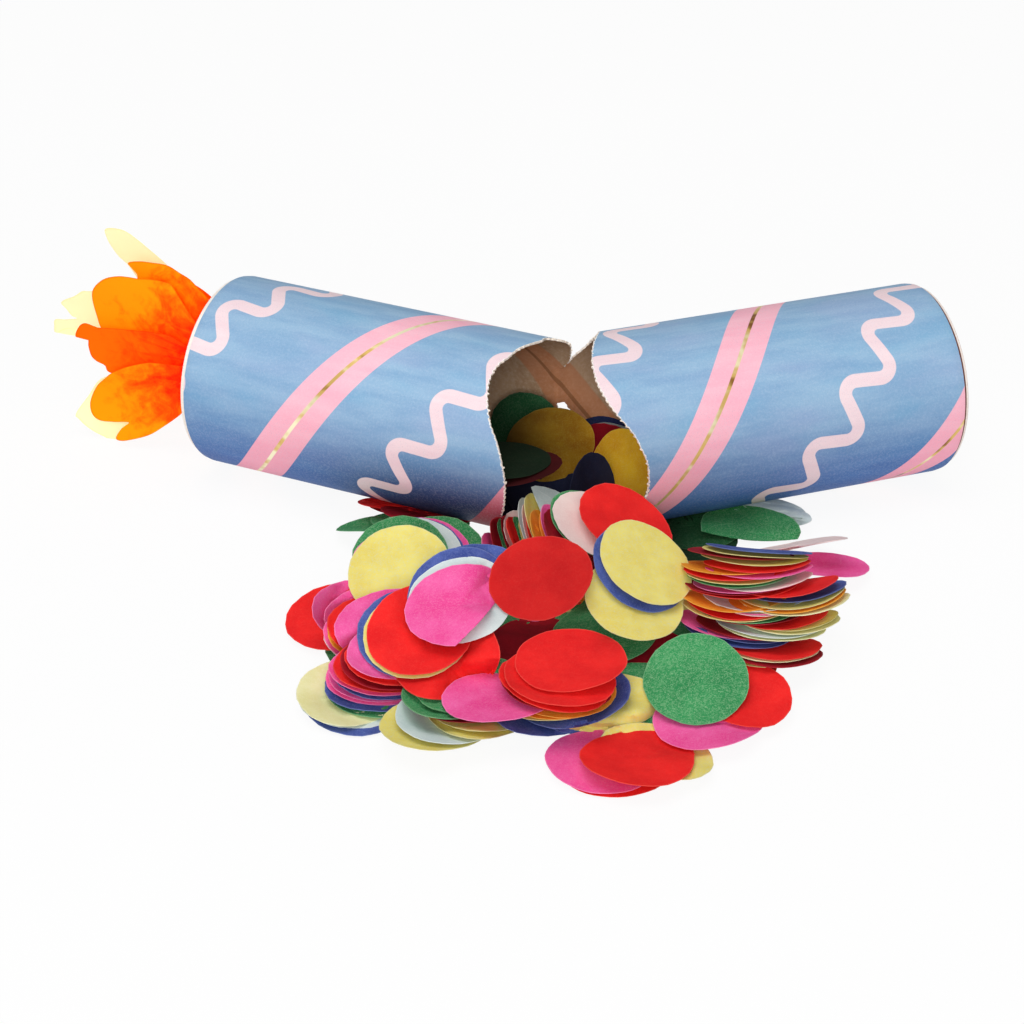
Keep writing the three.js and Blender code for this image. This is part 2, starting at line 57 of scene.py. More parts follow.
SWING = {"flame_half": math.radians(-25.8), "base_half": math.radians(20.0)}
HINGE = frame["joints"][0]["pos_m"]
HINGE_X, HINGE_Y = HINGE[0] / MM, HINGE[1] / MM
DISC_RADIUS = 12.7

# The photograph's camera, in millimetres of a frame with the hinge at (11.6, 20, 0)
LENS = 94.96
SENSOR = 36.0
PICTURE = 1024
FOCAL = PICTURE * LENS / SENSOR
ELEVATION = math.radians(29.2)
DISTANCE = 700.0
FORWARD = np.array([0.0, math.cos(ELEVATION), -math.sin(ELEVATION)])
UPWARD = np.array([0.0, math.sin(ELEVATION), math.cos(ELEVATION)])
AIM = np.array([HINGE_X - 11.6, HINGE_Y - 20.0, 0.0])
EYE = AIM - DISTANCE * FORWARD


def camera():
    data = bpy.data.cameras.new("camera")
    data.lens = LENS
    data.sensor_width = SENSOR
    data.clip_start = 0.01
    eye = bpy.data.objects.new("camera", data)
    eye.location = Vector(EYE * MM)
    eye.rotation_euler = (math.pi / 2 - ELEVATION, 0, 0)
    bpy.context.scene.collection.objects.link(eye)
    bpy.context.scene.camera = eye


def ray(px, py):
    """The direction, in the part's frame, of the sight line through each given pixel of the photograph"""
    across = np.array((px - PICTURE / 2) / FOCAL)[..., None]
    up = np.array((PICTURE / 2 - py) / FOCAL)[..., None]
    return FORWARD + up * UPWARD + across * np.array([1.0, 0.0, 0.0])


# Materials


def srgb(red, green, blue):
    """A colour read as 0 to 255 values on a screen, as a linear one"""
    out = []
    for value in (red, green, blue):
        c = value / 255
        out.append(c / 12.92 if c <= 0.04045 else ((c + 0.055) / 1.055) ** 2.4)
    return (*out, 1.0)


class Look:
    """A material that is wired up node by node"""

    def __init__(self, name):
        self.material = bpy.data.materials.new(name)
        self.material.use_nodes = True
        self.tree = self.material.node_tree
        self.tree.nodes.clear()

    def put(self, socket, value):
        if isinstance(value, bpy.types.NodeSocket):
            self.tree.links.new(value, socket)
        else:
            socket.default_value = value

    def add(self, kind, settings=None, **sockets):
        node = self.tree.nodes.new("ShaderNode" + kind)
        for key, value in (settings or {}).items():
            setattr(node, key, value)
        for key, value in sockets.items():
            self.put(node.inputs[key.replace("_", " ")], value)
        return node

    def attribute(self, name):
        return self.add("Attribute", {"attribute_name": name}).outputs["Fac"]

    def place(self):
        return self.add("TexCoord").outputs["Object"]

    def scaled(self, vector, x, y, z):
        node = self.add("Mapping", Scale=(x, y, z))
        self.put(node.inputs["Vector"], vector)
        return node.outputs["Vector"]

    def join(self, x, y, z):
        return self.add("CombineXYZ", X=x, Y=y, Z=z).outputs[0]

    def noise(self, vector, scale, detail=4.0, roughness=0.55, distortion=0.0):
        node = self.add("TexNoise", Vector=vector, Scale=scale, Detail=detail,
                        Roughness=roughness, Distortion=distortion)
        return node.outputs["Fac"]

    def maths(self, operation, a, b=0.0, c=0.0, clamp=False):
        node = self.add("Math", {"operation": operation, "use_clamp": clamp})
        for socket, value in zip(node.inputs, (a, b, c)):
            self.put(socket, value)
        return node.outputs[0]

    def times(self, a, b):
        return self.maths("MULTIPLY", a, b)

    def plus(self, a, b):
        return self.maths("ADD", a, b)

    def minus(self, a, b, clamp=False):
        return self.maths("SUBTRACT", a, b, 0.0, clamp)

    def least(self, values):
        found = values[0]
        for value in values[1:]:
            found = self.maths("MINIMUM", found, value)
        return found

    def between(self, value, low, high, to_low=0.0, to_high=1.0):
        """value eased from low to high"""
        node = self.add("MapRange", {"interpolation_type": "SMOOTHSTEP"})
        for key, v in (("Value", value), ("From Min", low), ("From Max", high),
                       ("To Min", to_low), ("To Max", to_high)):
            self.put(node.inputs[key], v)
        return node.outputs["Result"]

    def mix(self, share, a, b, blend="MIX"):
        node = self.add("Mix", {"data_type": "RGBA", "blend_type": blend})
        self.put(node.inputs[0], share)
        self.put(node.inputs[6], a)
        self.put(node.inputs[7], b)
        return node.outputs[2]

    def bump(self, height, strength=0.3, distance=0.0002):
        return self.add("Bump", Height=height, Strength=strength, Distance=distance).outputs[0]

    def finish(self, colour, roughness=0.7, normal=None, metal=None, specular=0.3, through=0.0, glow=0.0):
        """A surface shader; through is the share of light that comes through a thin sheet, and glow is
        painted light: the surface gives off its own colour
        """
        skin = self.add("BsdfPrincipled", Base_Color=colour, Roughness=roughness)
        skin.inputs["Specular IOR Level"].default_value = specular
        if glow:
            self.put(skin.inputs["Emission Color"], colour)
            skin.inputs["Emission Strength"].default_value = glow
        if metal is not None:
            self.put(skin.inputs["Metallic"], metal)
        if normal is not None:
            self.put(skin.inputs["Normal"], normal)
        surface = skin.outputs[0]
        if through:
            back = self.add("BsdfTranslucent", Color=colour)
            if normal is not None:
                self.put(back.inputs["Normal"], normal)
            surface = self.mixed(through, surface, back.outputs[0])
        return self.end(surface)

    def mixed(self, share, first, second):
        """Two surface shaders in one; share is how much there is of the second"""
        node = self.add("MixShader", Fac=share)
        self.put(node.inputs[1], first)
        self.put(node.inputs[2], second)
        return node.outputs[0]

    def end(self, surface):
        self.add("OutputMaterial", Surface=surface)
        return self.material


def wavy_line(look, along, around, start):
    """How far a point of the print is from the wavy line through start; places in mm and degrees,
    and start's last number is how long its waves are.
    The line is made of arcs, one round each bend, and straight pieces between them."""
    step_x, step_y = WAVE_STEP[0] * start[2], math.radians(WAVE_STEP[1]) * RADIUS * start[2]
    length = math.hypot(step_x, step_y)
    way_x, way_y = step_x / length, step_y / length
    quarter, hub = length / 4, WAVE_HEIGHT - WAVE_BEND
    slant = math.asin(WAVE_BEND / math.hypot(quarter, hub)) + math.atan2(hub, quarter)
    x = look.minus(along, start[0])
    y = look.times(look.minus(around, start[1]), math.radians(1) * RADIUS)
    run = look.maths("MULTIPLY_ADD", x, way_x, look.times(y, way_y))
    off = look.maths("MULTIPLY_ADD", x, -way_y, look.times(y, way_x))
    side = look.maths("SIGN", look.maths("COSINE", look.times(run, 2 * math.pi / length)))
    near = look.maths("PINGPONG", run, quarter)
    high = look.times(look.minus(WAVE_HEIGHT, off), side)
    from_hub = look.minus(high, hub)
    reach = look.maths("SQRT", look.maths("MULTIPLY_ADD", near, near, look.times(from_hub, from_hub)))
    bend = look.maths("ABSOLUTE", look.minus(reach, WAVE_BEND))
    straight = look.times(look.minus(near, quarter), math.sin(slant))
    straight = look.maths("ABSOLUTE", look.maths("MULTIPLY_ADD", high, math.cos(slant), straight))
    past = look.maths("MULTIPLY_ADD", near, math.cos(slant), look.times(from_hub, -math.sin(slant)))
    past = look.maths("GREATER_THAN", past, 0.0)
    return look.maths("MULTIPLY_ADD", look.minus(straight, bend), past, bend)


def across_bands(look, along, around, body):
    """How far a point of the print is from the nearest gold line, along the tube"""
    away = [look.maths("MULTIPLY_ADD", around, GOLD_SLOPE, look.minus(along, place))
            for place in GOLD_LINES[body]]
    return look.least([look.maths("ABSOLUTE", value) for value in away])


def printed_card(body):
    """Blue paper with pale wavy lines and a pink band that has a gold line in it"""
    look = Look("printed_card_" + body)
    at = look.place()
    along, around = look.attribute("along"), look.attribute("around")
    unrolled = look.join(look.times(along, 0.02), look.times(around, 0.0087), 0.0)
    brushed = look.noise(look.scaled(unrolled, 1.0, 5.0, 1.0), 2.2, 4, 0.6)
    tint = look.noise(look.scaled(unrolled, 1.0, 2.5, 1.0), 1.7, 2, 0.5)
    grain = look.noise(at, 1900, 3, 0.7)
    dust = look.noise(at, 4200, 2, 0.6)
    height = look.maths("SINE", look.times(around, math.radians(1)))
    # Painted shade: the blue and the pink are deepened towards the bottom of the tube, where less light falls
    low = look.between(height, 0.5, -0.75)
    blue = look.mix(look.between(brushed, 0.3, 0.7), srgb(130, 168, 204), srgb(150, 185, 214))
    blue = look.mix(look.between(tint, 0.5, 0.72, 0, 0.45), blue, srgb(112, 172, 208))
    blue = look.mix(look.between(tint, 0.5, 0.3, 0, 0.4), blue, srgb(156, 174, 210))
    blue = look.mix(low, blue, look.mix(1.0, blue, srgb(112, 152, 208), "MULTIPLY"))
    # Painted shade on the flame half, low down near the mouth, deepening the blue and the pink
    if body == "flame_half":
        shaded = look.times(look.between(along, -66, 4), look.between(height, 0.2, -0.62, 0, 0.92))
        blue = look.mix(shaded, blue, srgb(12, 24, 66))
    nearest = look.least([wavy_line(look, along, around, start) for start in WAVE_STARTS[body]])
    rose = look.mix(look.between(brushed, 0.3, 0.7), srgb(240, 212, 218), srgb(246, 222, 226))
    colour = look.mix(look.between(nearest, WAVE_HALF + 0.09, WAVE_HALF - 0.09), blue, rose)
    band = across_bands(look, along, around, body)
    pink = look.mix(look.between(brushed, 0.3, 0.7), srgb(250, 178, 196), srgb(253, 192, 206))
    # painted shade on the pink, low on the tube
    pink = look.mix(look.times(low, 0.6), pink, srgb(252, 158, 182))
    if body == "flame_half":
        pink = look.mix(shaded, pink, srgb(166, 44, 62))
    colour = look.mix(look.between(band, BAND_HALF + 0.1, BAND_HALF - 0.07), colour, pink)
    colour = look.mix(look.between(grain, 0.42, 0.7, 0, 0.12), colour, srgb(226, 234, 242))
    colour = look.mix(look.between(dust, 0.5, 0.2, 0, 0.2), colour, srgb(70, 104, 150))
    line = look.between(band, GOLD_HALF + 0.06, GOLD_HALF - 0.06)
    # The gold foil's own colour with painted reflections: dark brown and near-white patches along the line
    glint = look.noise(look.scaled(unrolled, 1.0, 1.6, 1.0), 2.6, 3, 0.6)
    gold = look.mix(look.between(glint, 0.34, 0.44), srgb(140, 90, 36), srgb(226, 188, 110))
    gold = look.mix(look.between(glint, 0.46, 0.6), gold, srgb(255, 246, 206))
    colour = look.mix(line, colour, gold)
    torn = look.plus(look.attribute("edge"), look.between(grain, 0.3, 0.7, -0.22, 0.22))
    bare = look.between(torn, 0.26, 0.12)
    colour = look.mix(bare, colour, srgb(250, 246, 240))
    seam = look.between(look.maths("ABSOLUTE", look.minus(around, SEAM + 1.6)), 0.5, 0.15, 0, 0.5)
    colour = look.mix(seam, colour, srgb(70, 96, 130))
    metal = look.times(look.minus(line, bare, True), 0.35)
    rough = look.between(line, 0, 1, 0.6, 0.3)
    rise = look.plus(look.times(grain, 0.8), look.times(dust, 0.4))
    rise = look.plus(rise, look.times(look.minus(line, seam), 0.8))
    return look.finish(colour, rough, look.bump(rise, 0.12, 0.0001), metal, 0.25)


def inner_card(body):
    """The brown inside of the tube, with painted light: a warmer stripe where light comes through the pink
    band, and a darker line behind the gold line
    """
    look = Look("inner_card_" + body)
    at = look.place()
    fibre = look.noise(at, 1100, 5, 0.65)
    cloud = look.noise(at, 60, 3, 0.6)
    tan = look.mix(look.between(cloud, 0.35, 0.65), srgb(168, 128, 96), srgb(198, 164, 132))
    tan = look.mix(look.between(fibre, 0.4, 0.7, 0, 0.5), tan, srgb(216, 190, 162))
    band = across_bands(look, look.attribute("along"), look.attribute("around"), body)
    # painted light coming through the card behind the pink band
    colour = look.mix(look.between(band, 7.1, 6.3, 0, 0.6), tan, srgb(206, 128, 84))
    # painted shade behind the gold line, which lets no light through
    colour = look.mix(look.between(band, 0.8, 0.45, 0, 0.6), colour, srgb(122, 78, 44))
    return look.finish(colour, 0.85, look.bump(fibre, 0.25, 0.0001), None, 0.2)


def raw_card(name, low, high, dark, painted_shadow_heights=None):
    """Cut or plain card: pale, fibrous and slightly dirty. Where given, painted shadow darkens it below a
    height.
    """
    look = Look(name)
    at = look.place()
    fibre = look.noise(at, 1800, 5, 0.6)
    cloud = look.noise(at, 90, 3, 0.55)
    colour = look.mix(look.between(fibre, 0.35, 0.7), low, high)
    colour = look.mix(look.between(cloud, 0.5, 0.75, 0, 0.35), colour, dark)
    if painted_shadow_heights:
        # painted shadow: the dark line between the tube's rim and the cap's edge
        painted_shadow = look.between(look.attribute("height"), *painted_shadow_heights)
        colour = look.mix(painted_shadow, colour, srgb(104, 56, 40))
    return look.finish(colour, 0.85, look.bump(fibre, 0.25, 0.0001), None, 0.2)


# Each colour as its deep, plain and light tone, then how much it is speckled
TISSUES = {
    "red": ((226, 22, 26), (248, 38, 36), (250, 110, 96), 0.10),
    "magenta": ((236, 64, 144), (248, 102, 174), (252, 176, 216), 0.24),
    "yellow": ((224, 204, 92), (238, 226, 122), (212, 216, 196), 0.42),
    "green": ((34, 126, 70), (58, 152, 90), (160, 204, 158), 0.5),
    "navy": ((46, 62, 132), (82, 102, 176), (138, 156, 206), 0.25),
    "pale_pink": ((236, 208, 204), (246, 226, 220), (252, 242, 236), 0.3),
    "pale_blue": ((200, 216, 216), (218, 230, 228), (242, 246, 244), 0.3),
    "orange": ((232, 122, 20), (246, 168, 44), (250, 212, 110), 0.3),
    "amber": ((172, 112, 14), (214, 166, 36), (226, 196, 96), 0.35),
    "gold": ((226, 156, 20), (248, 200, 44), (246, 220, 110), 0.35),
    "cream": ((226, 222, 150), (242, 240, 186), (248, 248, 222), 0.3),
    "crimson": ((130, 8, 24), (172, 16, 36), (206, 64, 76), 0.1),
}


def tissue(name):
    """Thin coloured paper, with blotches where the dye took and fibres that stayed paler"""
    deep, plain, light = (srgb(*c) for c in TISSUES[name][:3])
    speckled = TISSUES[name][3]
    look = Look("confetti_" + name)
    at = look.place()
    cloud = look.noise(at, 120, 3, 0.6)
    fibre = look.noise(at, 1500, 4, 0.7)
    speck = look.noise(at, 3600, 2, 0.6)
    wrinkle = look.noise(at, 260, 3, 0.5, 0.6)
    colour = look.mix(look.between(cloud, 0.2, 0.8), deep, plain)
    colour = look.mix(look.between(fibre, 0.45, 0.75, 0, 0.8 * speckled), colour, light)
    colour = look.mix(look.between(speck, 0.48, 0.72, 0, speckled), colour, light)
    # Painted highlight along each disc's cut edge
    colour = look.mix(look.between(look.attribute("rim"), 0.6, 1.0, 0, 0.35), colour, light)
    # Painted shade: each disc's own amount, eased from its left to its right, darkens it
    colour = look.mix(look.attribute("dusk"), colour, look.mix(1.0, colour, srgb(70, 62, 62), "MULTIPLY"))
    height = look.plus(look.times(fibre, 0.25), wrinkle)
    # the last value is glow, painted light that lifts the tissue's shaded parts
    return look.finish(colour, 0.8, look.bump(height, 0.2, 0.0003), None, 0.2, 0.1, 0.05)


def flame_tissue(name, root, middle, tip, hem, streak=0.25, glow=0.0):
    """Petal paper: strong colour where it is gathered, paler towards its tip, in soft blotches"""
    look = Look(name)
    at = look.place()
    reach = look.attribute("reach")
    angle = look.attribute("angle")
    streaks = look.noise(look.join(look.times(angle, 0.16), look.times(reach, 0.9),
                                   0.0), 1.5, 4, 0.55, 0.4)
    cloud = look.noise(at, 120, 5, 0.62, 1.2)
    patch = look.noise(at, 330, 4, 0.6, 0.8)
    fibre = look.noise(at, 1900, 4, 0.7)
    drift = look.plus(reach, look.times(look.minus(cloud, 0.5), 1.15))
    drift = look.plus(drift, look.times(look.minus(patch, 0.5), 0.55))
    colour = look.mix(look.between(drift, 0.05, 0.5), root, middle)
    colour = look.mix(look.between(drift, 0.36, 0.86), colour, tip)
    mark = look.times(look.between(streaks, 0.46, 0.62), look.between(reach, 0.9, 0.1))
    colour = look.mix(look.times(mark, streak), colour, root)
    colour = look.mix(look.between(look.attribute("hem"), 0.35, 1.0, 0, 0.55), colour, hem)
    colour = look.mix(look.between(fibre, 0.5, 0.75, 0, 0.1), colour, tip)
    rise = look.plus(look.times(streaks, 0.5), look.times(fibre, 0.1))
    return look.finish(colour, 0.75, look.bump(rise, 0.12, 0.0003), None, 0.1, 0.35, glow)


# Mesh helpers


def place_mesh(name, points, faces, materials, indices=None, attributes=None, smooth=True):
    """A mesh object from points in millimetres of the part's frame"""
    mesh = bpy.data.meshes.new(name)
    mesh.from_pydata((np.asarray(points) * MM).tolist(), [], faces)
    for material in materials:
        mesh.materials.append(material)
    if indices is not None:
        mesh.polygons.foreach_set("material_index", indices)
    mesh.polygons.foreach_set("use_smooth", [smooth] * len(mesh.polygons))
    for key, values in (attributes or {}).items():
        mesh.attributes.new(key, "FLOAT", "POINT").data.foreach_set("value", np.asarray(values, np.float32))
    mesh.update()
    mesh.set_sharp_from_angle(angle=math.radians(45))
    piece = bpy.data.objects.new(name, mesh)
    bpy.context.scene.collection.objects.link(piece)
    return piece


def grid_faces(rows, columns, start, wrap, flip=False):
    """Quads of a rows by columns grid of points whose first has the number start"""
    faces = []
    last = columns if wrap else columns - 1
    for j in range(rows - 1):
        for i in range(last):
            a = start + j * columns + i
            b = start + j * columns + (i + 1) % columns
            quad = (a, b, b + columns, a + columns)
            faces.append(quad[::-1] if flip else quad)
    return faces


def thin_sheet(grid, thickness, wrap=False):
    """Points and faces of a thin closed sheet about a rows by columns grid of middle points"""
    grid = np.asarray(grid, float)
    rows, columns = grid.shape[:2]
    along = np.gradient(grid, axis=0)
    if wrap:
        across = (np.roll(grid, -1, 1) - np.roll(grid, 1, 1)) / 2
    else:
        across = np.gradient(grid, axis=1)
    normal = np.cross(across, along)
    normal /= np.maximum(np.linalg.norm(normal, axis=2, keepdims=True), 1e-9)
    half = normal * thickness / 2
    points = np.concatenate([(grid + half).reshape(-1, 3), (grid - half).reshape(-1, 3)])
    count = rows * columns
    faces = grid_faces(rows, columns, 0, wrap) + grid_faces(rows, columns, count, wrap, True)
    for i in range(columns if wrap else columns - 1):
        n = (i + 1) % columns
        faces.append((count + i, count + n, n, i))
        a, b = (rows - 1) * columns + i, (rows - 1) * columns + n
        faces.append((a, b, count + b, count + a))
    if not wrap:
        for j in range(rows - 1):
            a, b = j * columns, (j + 1) * columns
            faces.append((a, b, count + b, count + a))
            a, b = a + columns - 1, b + columns - 1
            faces.append((b, a, count + a, count + b))
    return points, faces


def both_sides(**fields):
    """Values for the points of a sheet whose two sides have the same grid"""
    return {name: np.concatenate([values.ravel()] * 2) for name, values in fields.items()}


def half_point(body, x, y, z):
    """Points of one half, laid out as in the whole tube with the hinge at x = y = 0, in the part's frame"""
    turn = SWING[body]
    return np.stack([x * math.cos(turn) - y * math.sin(turn) + HINGE_X,
                     x * math.sin(turn) + y * math.cos(turn) + HINGE_Y,
                     z + 0 * x], axis=-1)


def into_half(body, point):
    """The other way: where a point of the part's frame is in the whole tube's layout"""
    turn = -SWING[body]
    x, y = point[0] - HINGE_X, point[1] - HINGE_Y
    c, s = math.cos(turn), math.sin(turn)
    return np.array([x * c - y * s, x * s + y * c, point[2]])


def round_tube(x, angle, radius):
    """Whole-tube coordinates of a point round the tube; an angle of 0 is the back and 90 the top"""
    turn = np.radians(angle)
    return x + 0 * angle, -RADIUS + radius * np.cos(turn), RADIUS + radius * np.sin(turn)


# Card tube

# Each torn edge as (angle round the tube, distance along it from the hinge)
FLAME_TEAR = [(20, 2.8), (25, 4.4), (38, 6.4), (50, 7.8), (62, 7.3), (70, 5.1), (81, 5.2), (91, 3.3),
              (97, 2.3), (106, 1.4), (113, 0.2), (123, -0.2), (132, 0.6), (142, 2.2), (149, 3.6), (158, 6.1),
              (169, 8.1), (180, 9.2), (194, 8.8), (207, 7.2), (230, 2.5), (250, 1.0), (270, 4.6), (290, 7.8),
              (310, 7.4), (330, 3.8), (350, 0.6)]
BASE_TEAR = [(18, 1.6), (21, 2.5), (26, 3.8), (30, 5.1), (39, 6.9), (53, 7.4), (73, 4.3), (92, -0.3),
             (103, -2.5), (112, -3.6), (122, -4.1), (131, -3.5), (140, -2.1), (149, 0.2), (156, 2.1),
             (164, 3.5), (173, 4.9), (182, 5.4), (192, 5.5), (201, 4.7), (215, 0.5), (230, -3.2), (250, -2.5),
             (270, 2.4), (290, 6.9), (310, 7.6), (341, 4.8), (352, 2.3)]
STRIP_FROM, STRIP_TO, STRIP_WING = -7.4, 18.9, 6.0
STRIP_CREASE = 3.0
# The distance from a torn edge that is written where the card is whole
WHOLE_EDGE = 9.0
SEAM = -30.0

# Gold lines along the tube where the angle is 0; they run back towards the flame as the angle grows
GOLD_SLOPE = 0.30
GOLD_LINES = {"flame_half": (2.5, 70.7, -71.0), "base_half": (2.5, 70.7, 147.9)}
# The wavy lines climb round the tube: each wave goes this far along it and round it, in degrees.
# Each line has a bend at its start; WAVE_BEND is the radius of its bends.
WAVE_STEP = (-10.5, 33.5)
WAVE_HEIGHT = 4.3
WAVE_BEND = 3.2
# Half the width of each printed line: the wavy one, the pink band and the gold in it
WAVE_HALF, BAND_HALF, GOLD_HALF = 1.77, 6.75, 0.6
WAVE_STARTS = {"flame_half": ((-9.2, 170, 1.0), (-65.6, 108.5, 0.92)),
               "base_half": ((8.7, 105, 1.0), (83, 111, 1.0), (158, 111, 1.0))}


def round_curve(places, angle):
    """A smooth closed curve through [angle, value] places, read at the given angles"""
    a = np.array([p[0] for p in places], float)
    v = np.array([p[1] for p in places], float)
    a = np.concatenate([a[-2:] - 360, a, a[:3] + 360])
    v = np.concatenate([v[-2:], v, v[:3]])
    slope = np.gradient(v, a)
    angle = np.mod(np.asarray(angle, float) - a[1], 360) + a[1]
    k = np.clip(np.searchsorted(a, angle, side="right") - 1, 0, len(a) - 2)
    step = a[k + 1] - a[k]
    t = (angle - a[k]) / step
    h00, h10 = (1 + 2 * t) * (1 - t) ** 2, t * (1 - t) ** 2
    h01, h11 = t * t * (3 - 2 * t), t * t * (t - 1)
    return h00 * v[k] + h10 * step * slope[k] + h01 * v[k + 1] + h11 * step * slope[k + 1]


def smooth_line(points, steps):
    """Catmull-Rom through a list of points"""
    p = np.asarray(points, float)
    p = np.concatenate([2 * p[:1] - p[1:2], p, 2 * p[-1:] - p[-2:-1]])
    out = []
    for k in range(1, len(p) - 2):
        for t in np.arange(steps) / steps:
            out.append(0.5 * (2 * p[k] + (p[k + 1] - p[k - 1]) * t
                              + (2 * p[k - 1] - 5 * p[k] + 4 * p[k + 1] - p[k + 2]) * t * t
                              + (3 * p[k] - p[k - 1] - 3 * p[k + 1] + p[k + 2]) * t ** 3))
    out.append(p[-2])
    return np.array(out)


def tear_edge(body, angle):
    """How far along the tube each half's torn edge is; where the strip crosses, its end"""
    places = FLAME_TEAR if body == "flame_half" else BASE_TEAR
    edge = round_curve(places, angle)
    wobble = 0.12 * np.sin(angle * 1.9 + 1) + 0.09 * np.sin(angle * 4.3)
    turned = np.mod(angle + 180, 360) - 180
    inside = (turned > STRIP_FROM) & (turned < STRIP_TO)
    return np.where(inside, -STRIP_WING if body == "flame_half" else STRIP_WING, edge + wobble)


def sleeve(body):
    """One printed half of the tube, with its torn edge, brown inside and pale card edges"""
    flame = body == "flame_half"
    far = -FLAME_LENGTH if flame else BASE_LENGTH
    narrow = 0.06
    breaks = [SEAM + narrow, STRIP_FROM - narrow, STRIP_FROM + narrow, STRIP_TO - narrow, STRIP_TO + narrow,
              SEAM + 360 - narrow]
    angle = np.unique(np.concatenate([np.arange(SEAM + 1, SEAM + 359.5, 1.0), breaks]))
    columns = len(angle)
    share = np.concatenate([np.array([0, 0.3, 0.7, 1.2]) / 90, np.linspace(0.02, 0.985, 96), [0.994, 1.0]])
    rows = len(share)
    edge = tear_edge(body, angle)
    x = edge[None] + (far - edge[None]) * share[:, None]
    a = np.repeat(angle[None], rows, 0)
    tuck = 0.25 * np.clip((share[:, None] - 0.985) / 0.015, 0, 1)
    outer = half_point(body, *round_tube(x, a, RADIUS - tuck))
    inner = half_point(body, *round_tube(x, a, RADIUS - CARD + tuck * 0.4))
    count = rows * columns
    points = np.concatenate([outer.reshape(-1, 3), inner.reshape(-1, 3)])
    faces = grid_faces(rows, columns, 0, True, not flame) + grid_faces(rows, columns, count, True, flame)
    indices = [0] * (len(faces) // 2) + [1] * (len(faces) // 2)
    for row, flip in ((0, flame), (rows - 1, not flame)):
        for i in range(columns):
            n = (i + 1) % columns
            a0, b0 = row * columns + i, row * columns + n
            quad = (a0, b0, count + b0, count + a0)
            faces.append(quad if flip else quad[::-1])
            at_strip = STRIP_FROM - 1 < angle[i] < STRIP_TO + 1
            indices.append(1 if row == 0 and at_strip else 2)
    torn = np.where(abs(edge) == STRIP_WING, WHOLE_EDGE, 0.0)[None] + abs(x - edge[None])
    piece = place_mesh("sleeve_" + body, points, faces, [PRINT[body], INNER[body], EDGE], indices,
                       both_sides(along=x, around=a, edge=torn))
    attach(piece, body)
    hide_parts(body + "_sleeve")
    return piece


def torn_nubs(body):
    """The little white teeth of torn card, evenly spaced like a perforation"""
    chance = random.Random(body)
    outwards = 1 if body == "flame_half" else -1
    points, faces = [], []
    angle = STRIP_TO + 2.0
    while angle < 360 + STRIP_FROM - 2:
        edge = float(tear_edge(body, np.array([angle]))[0])
        ahead = float(tear_edge(body, np.array([angle + 1.0]))[0])
        slant = (ahead - edge) / (math.radians(1) * RADIUS)
        wide, tall = chance.uniform(0.2, 0.34), chance.uniform(0.12, 0.4)
        start = len(points)
        for share, reach, half in ((0, -0.25, 1.0), (1, 0.6, 0.75), (2, 1.0, 0.3)):
            for side in (-1, 1):
                turn = side * half * wide
                for radius in (RADIUS + 0.06 - 0.08 * share, RADIUS - CARD - 0.02 + 0.12 * share):
                    out = edge + outwards * tall * reach + turn * slant
                    place = round_tube(np.array(out), np.array(angle + math.degrees(turn / RADIUS)), radius)
                    points.append(half_point(body, *place))
        for level in (0, 4):
            a, b = start + level, start + level + 4
            for i, j in ((0, 1), (1, 3), (3, 2), (2, 0)):
                faces.append((a + i, a + j, b + j, b + i)[::outwards])
        faces.append((start + 2, start + 3, start + 1, start)[::outwards])
        faces.append((start + 8, start + 9, start + 11, start + 10)[::outwards])
        angle += math.degrees((2.2 + chance.uniform(-0.35, 0.35)) / RADIUS / math.hypot(1, slant))
    piece = place_mesh("torn_teeth_" + body, points, faces, [EDGE])
    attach(piece, body)


def fold_strip():
    """The card that still joins the halves at the back, printed outside and brown inside"""
    columns, rows = 49, 15
    x = np.linspace(-STRIP_WING, STRIP_WING, columns)[None].repeat(rows, 0)
    angle = np.linspace(STRIP_FROM, STRIP_TO, rows)[:, None].repeat(columns, 1)
    bend = np.clip(x / STRIP_CREASE + 0.5, 0, 1)
    bend = bend * bend * (3 - 2 * bend)
    turn = SWING["flame_half"] + bend * (SWING["base_half"] - SWING["flame_half"])
    layers = []
    for radius in (RADIUS, RADIUS - CARD):
        tx, ty, tz = round_tube(x, angle, radius)
        layers.append(np.stack([tx * np.cos(turn) - ty * np.sin(turn) + HINGE_X,
                                tx * np.sin(turn) + ty * np.cos(turn) + HINGE_Y, tz], -1))
    count = rows * columns
    points = np.concatenate([g.reshape(-1, 3) for g in layers])
    faces = grid_faces(rows, columns, 0, False, True) + grid_faces(rows, columns, count, False)
    indices = [0] * (len(faces) // 2) + [1] * (len(faces) // 2)
    ring = list(range(columns))
    ring += [j * columns + columns - 1 for j in range(1, rows)]
    ring += [(rows - 1) * columns + i for i in range(columns - 2, -1, -1)]
    ring += [j * columns for j in range(rows - 2, 0, -1)]
    for k, a in enumerate(ring):
        b = ring[(k + 1) % len(ring)]
        faces.append((a, b, count + b, count + a))
        indices.append(1)
    piece = place_mesh("fold_strip", points, faces, [PRINT["base_half"], INNER["base_half"]], indices,
                       both_sides(along=x, around=angle, edge=WHOLE_EDGE + 0 * x))
    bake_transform(piece)
    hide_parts("hinge_strip")


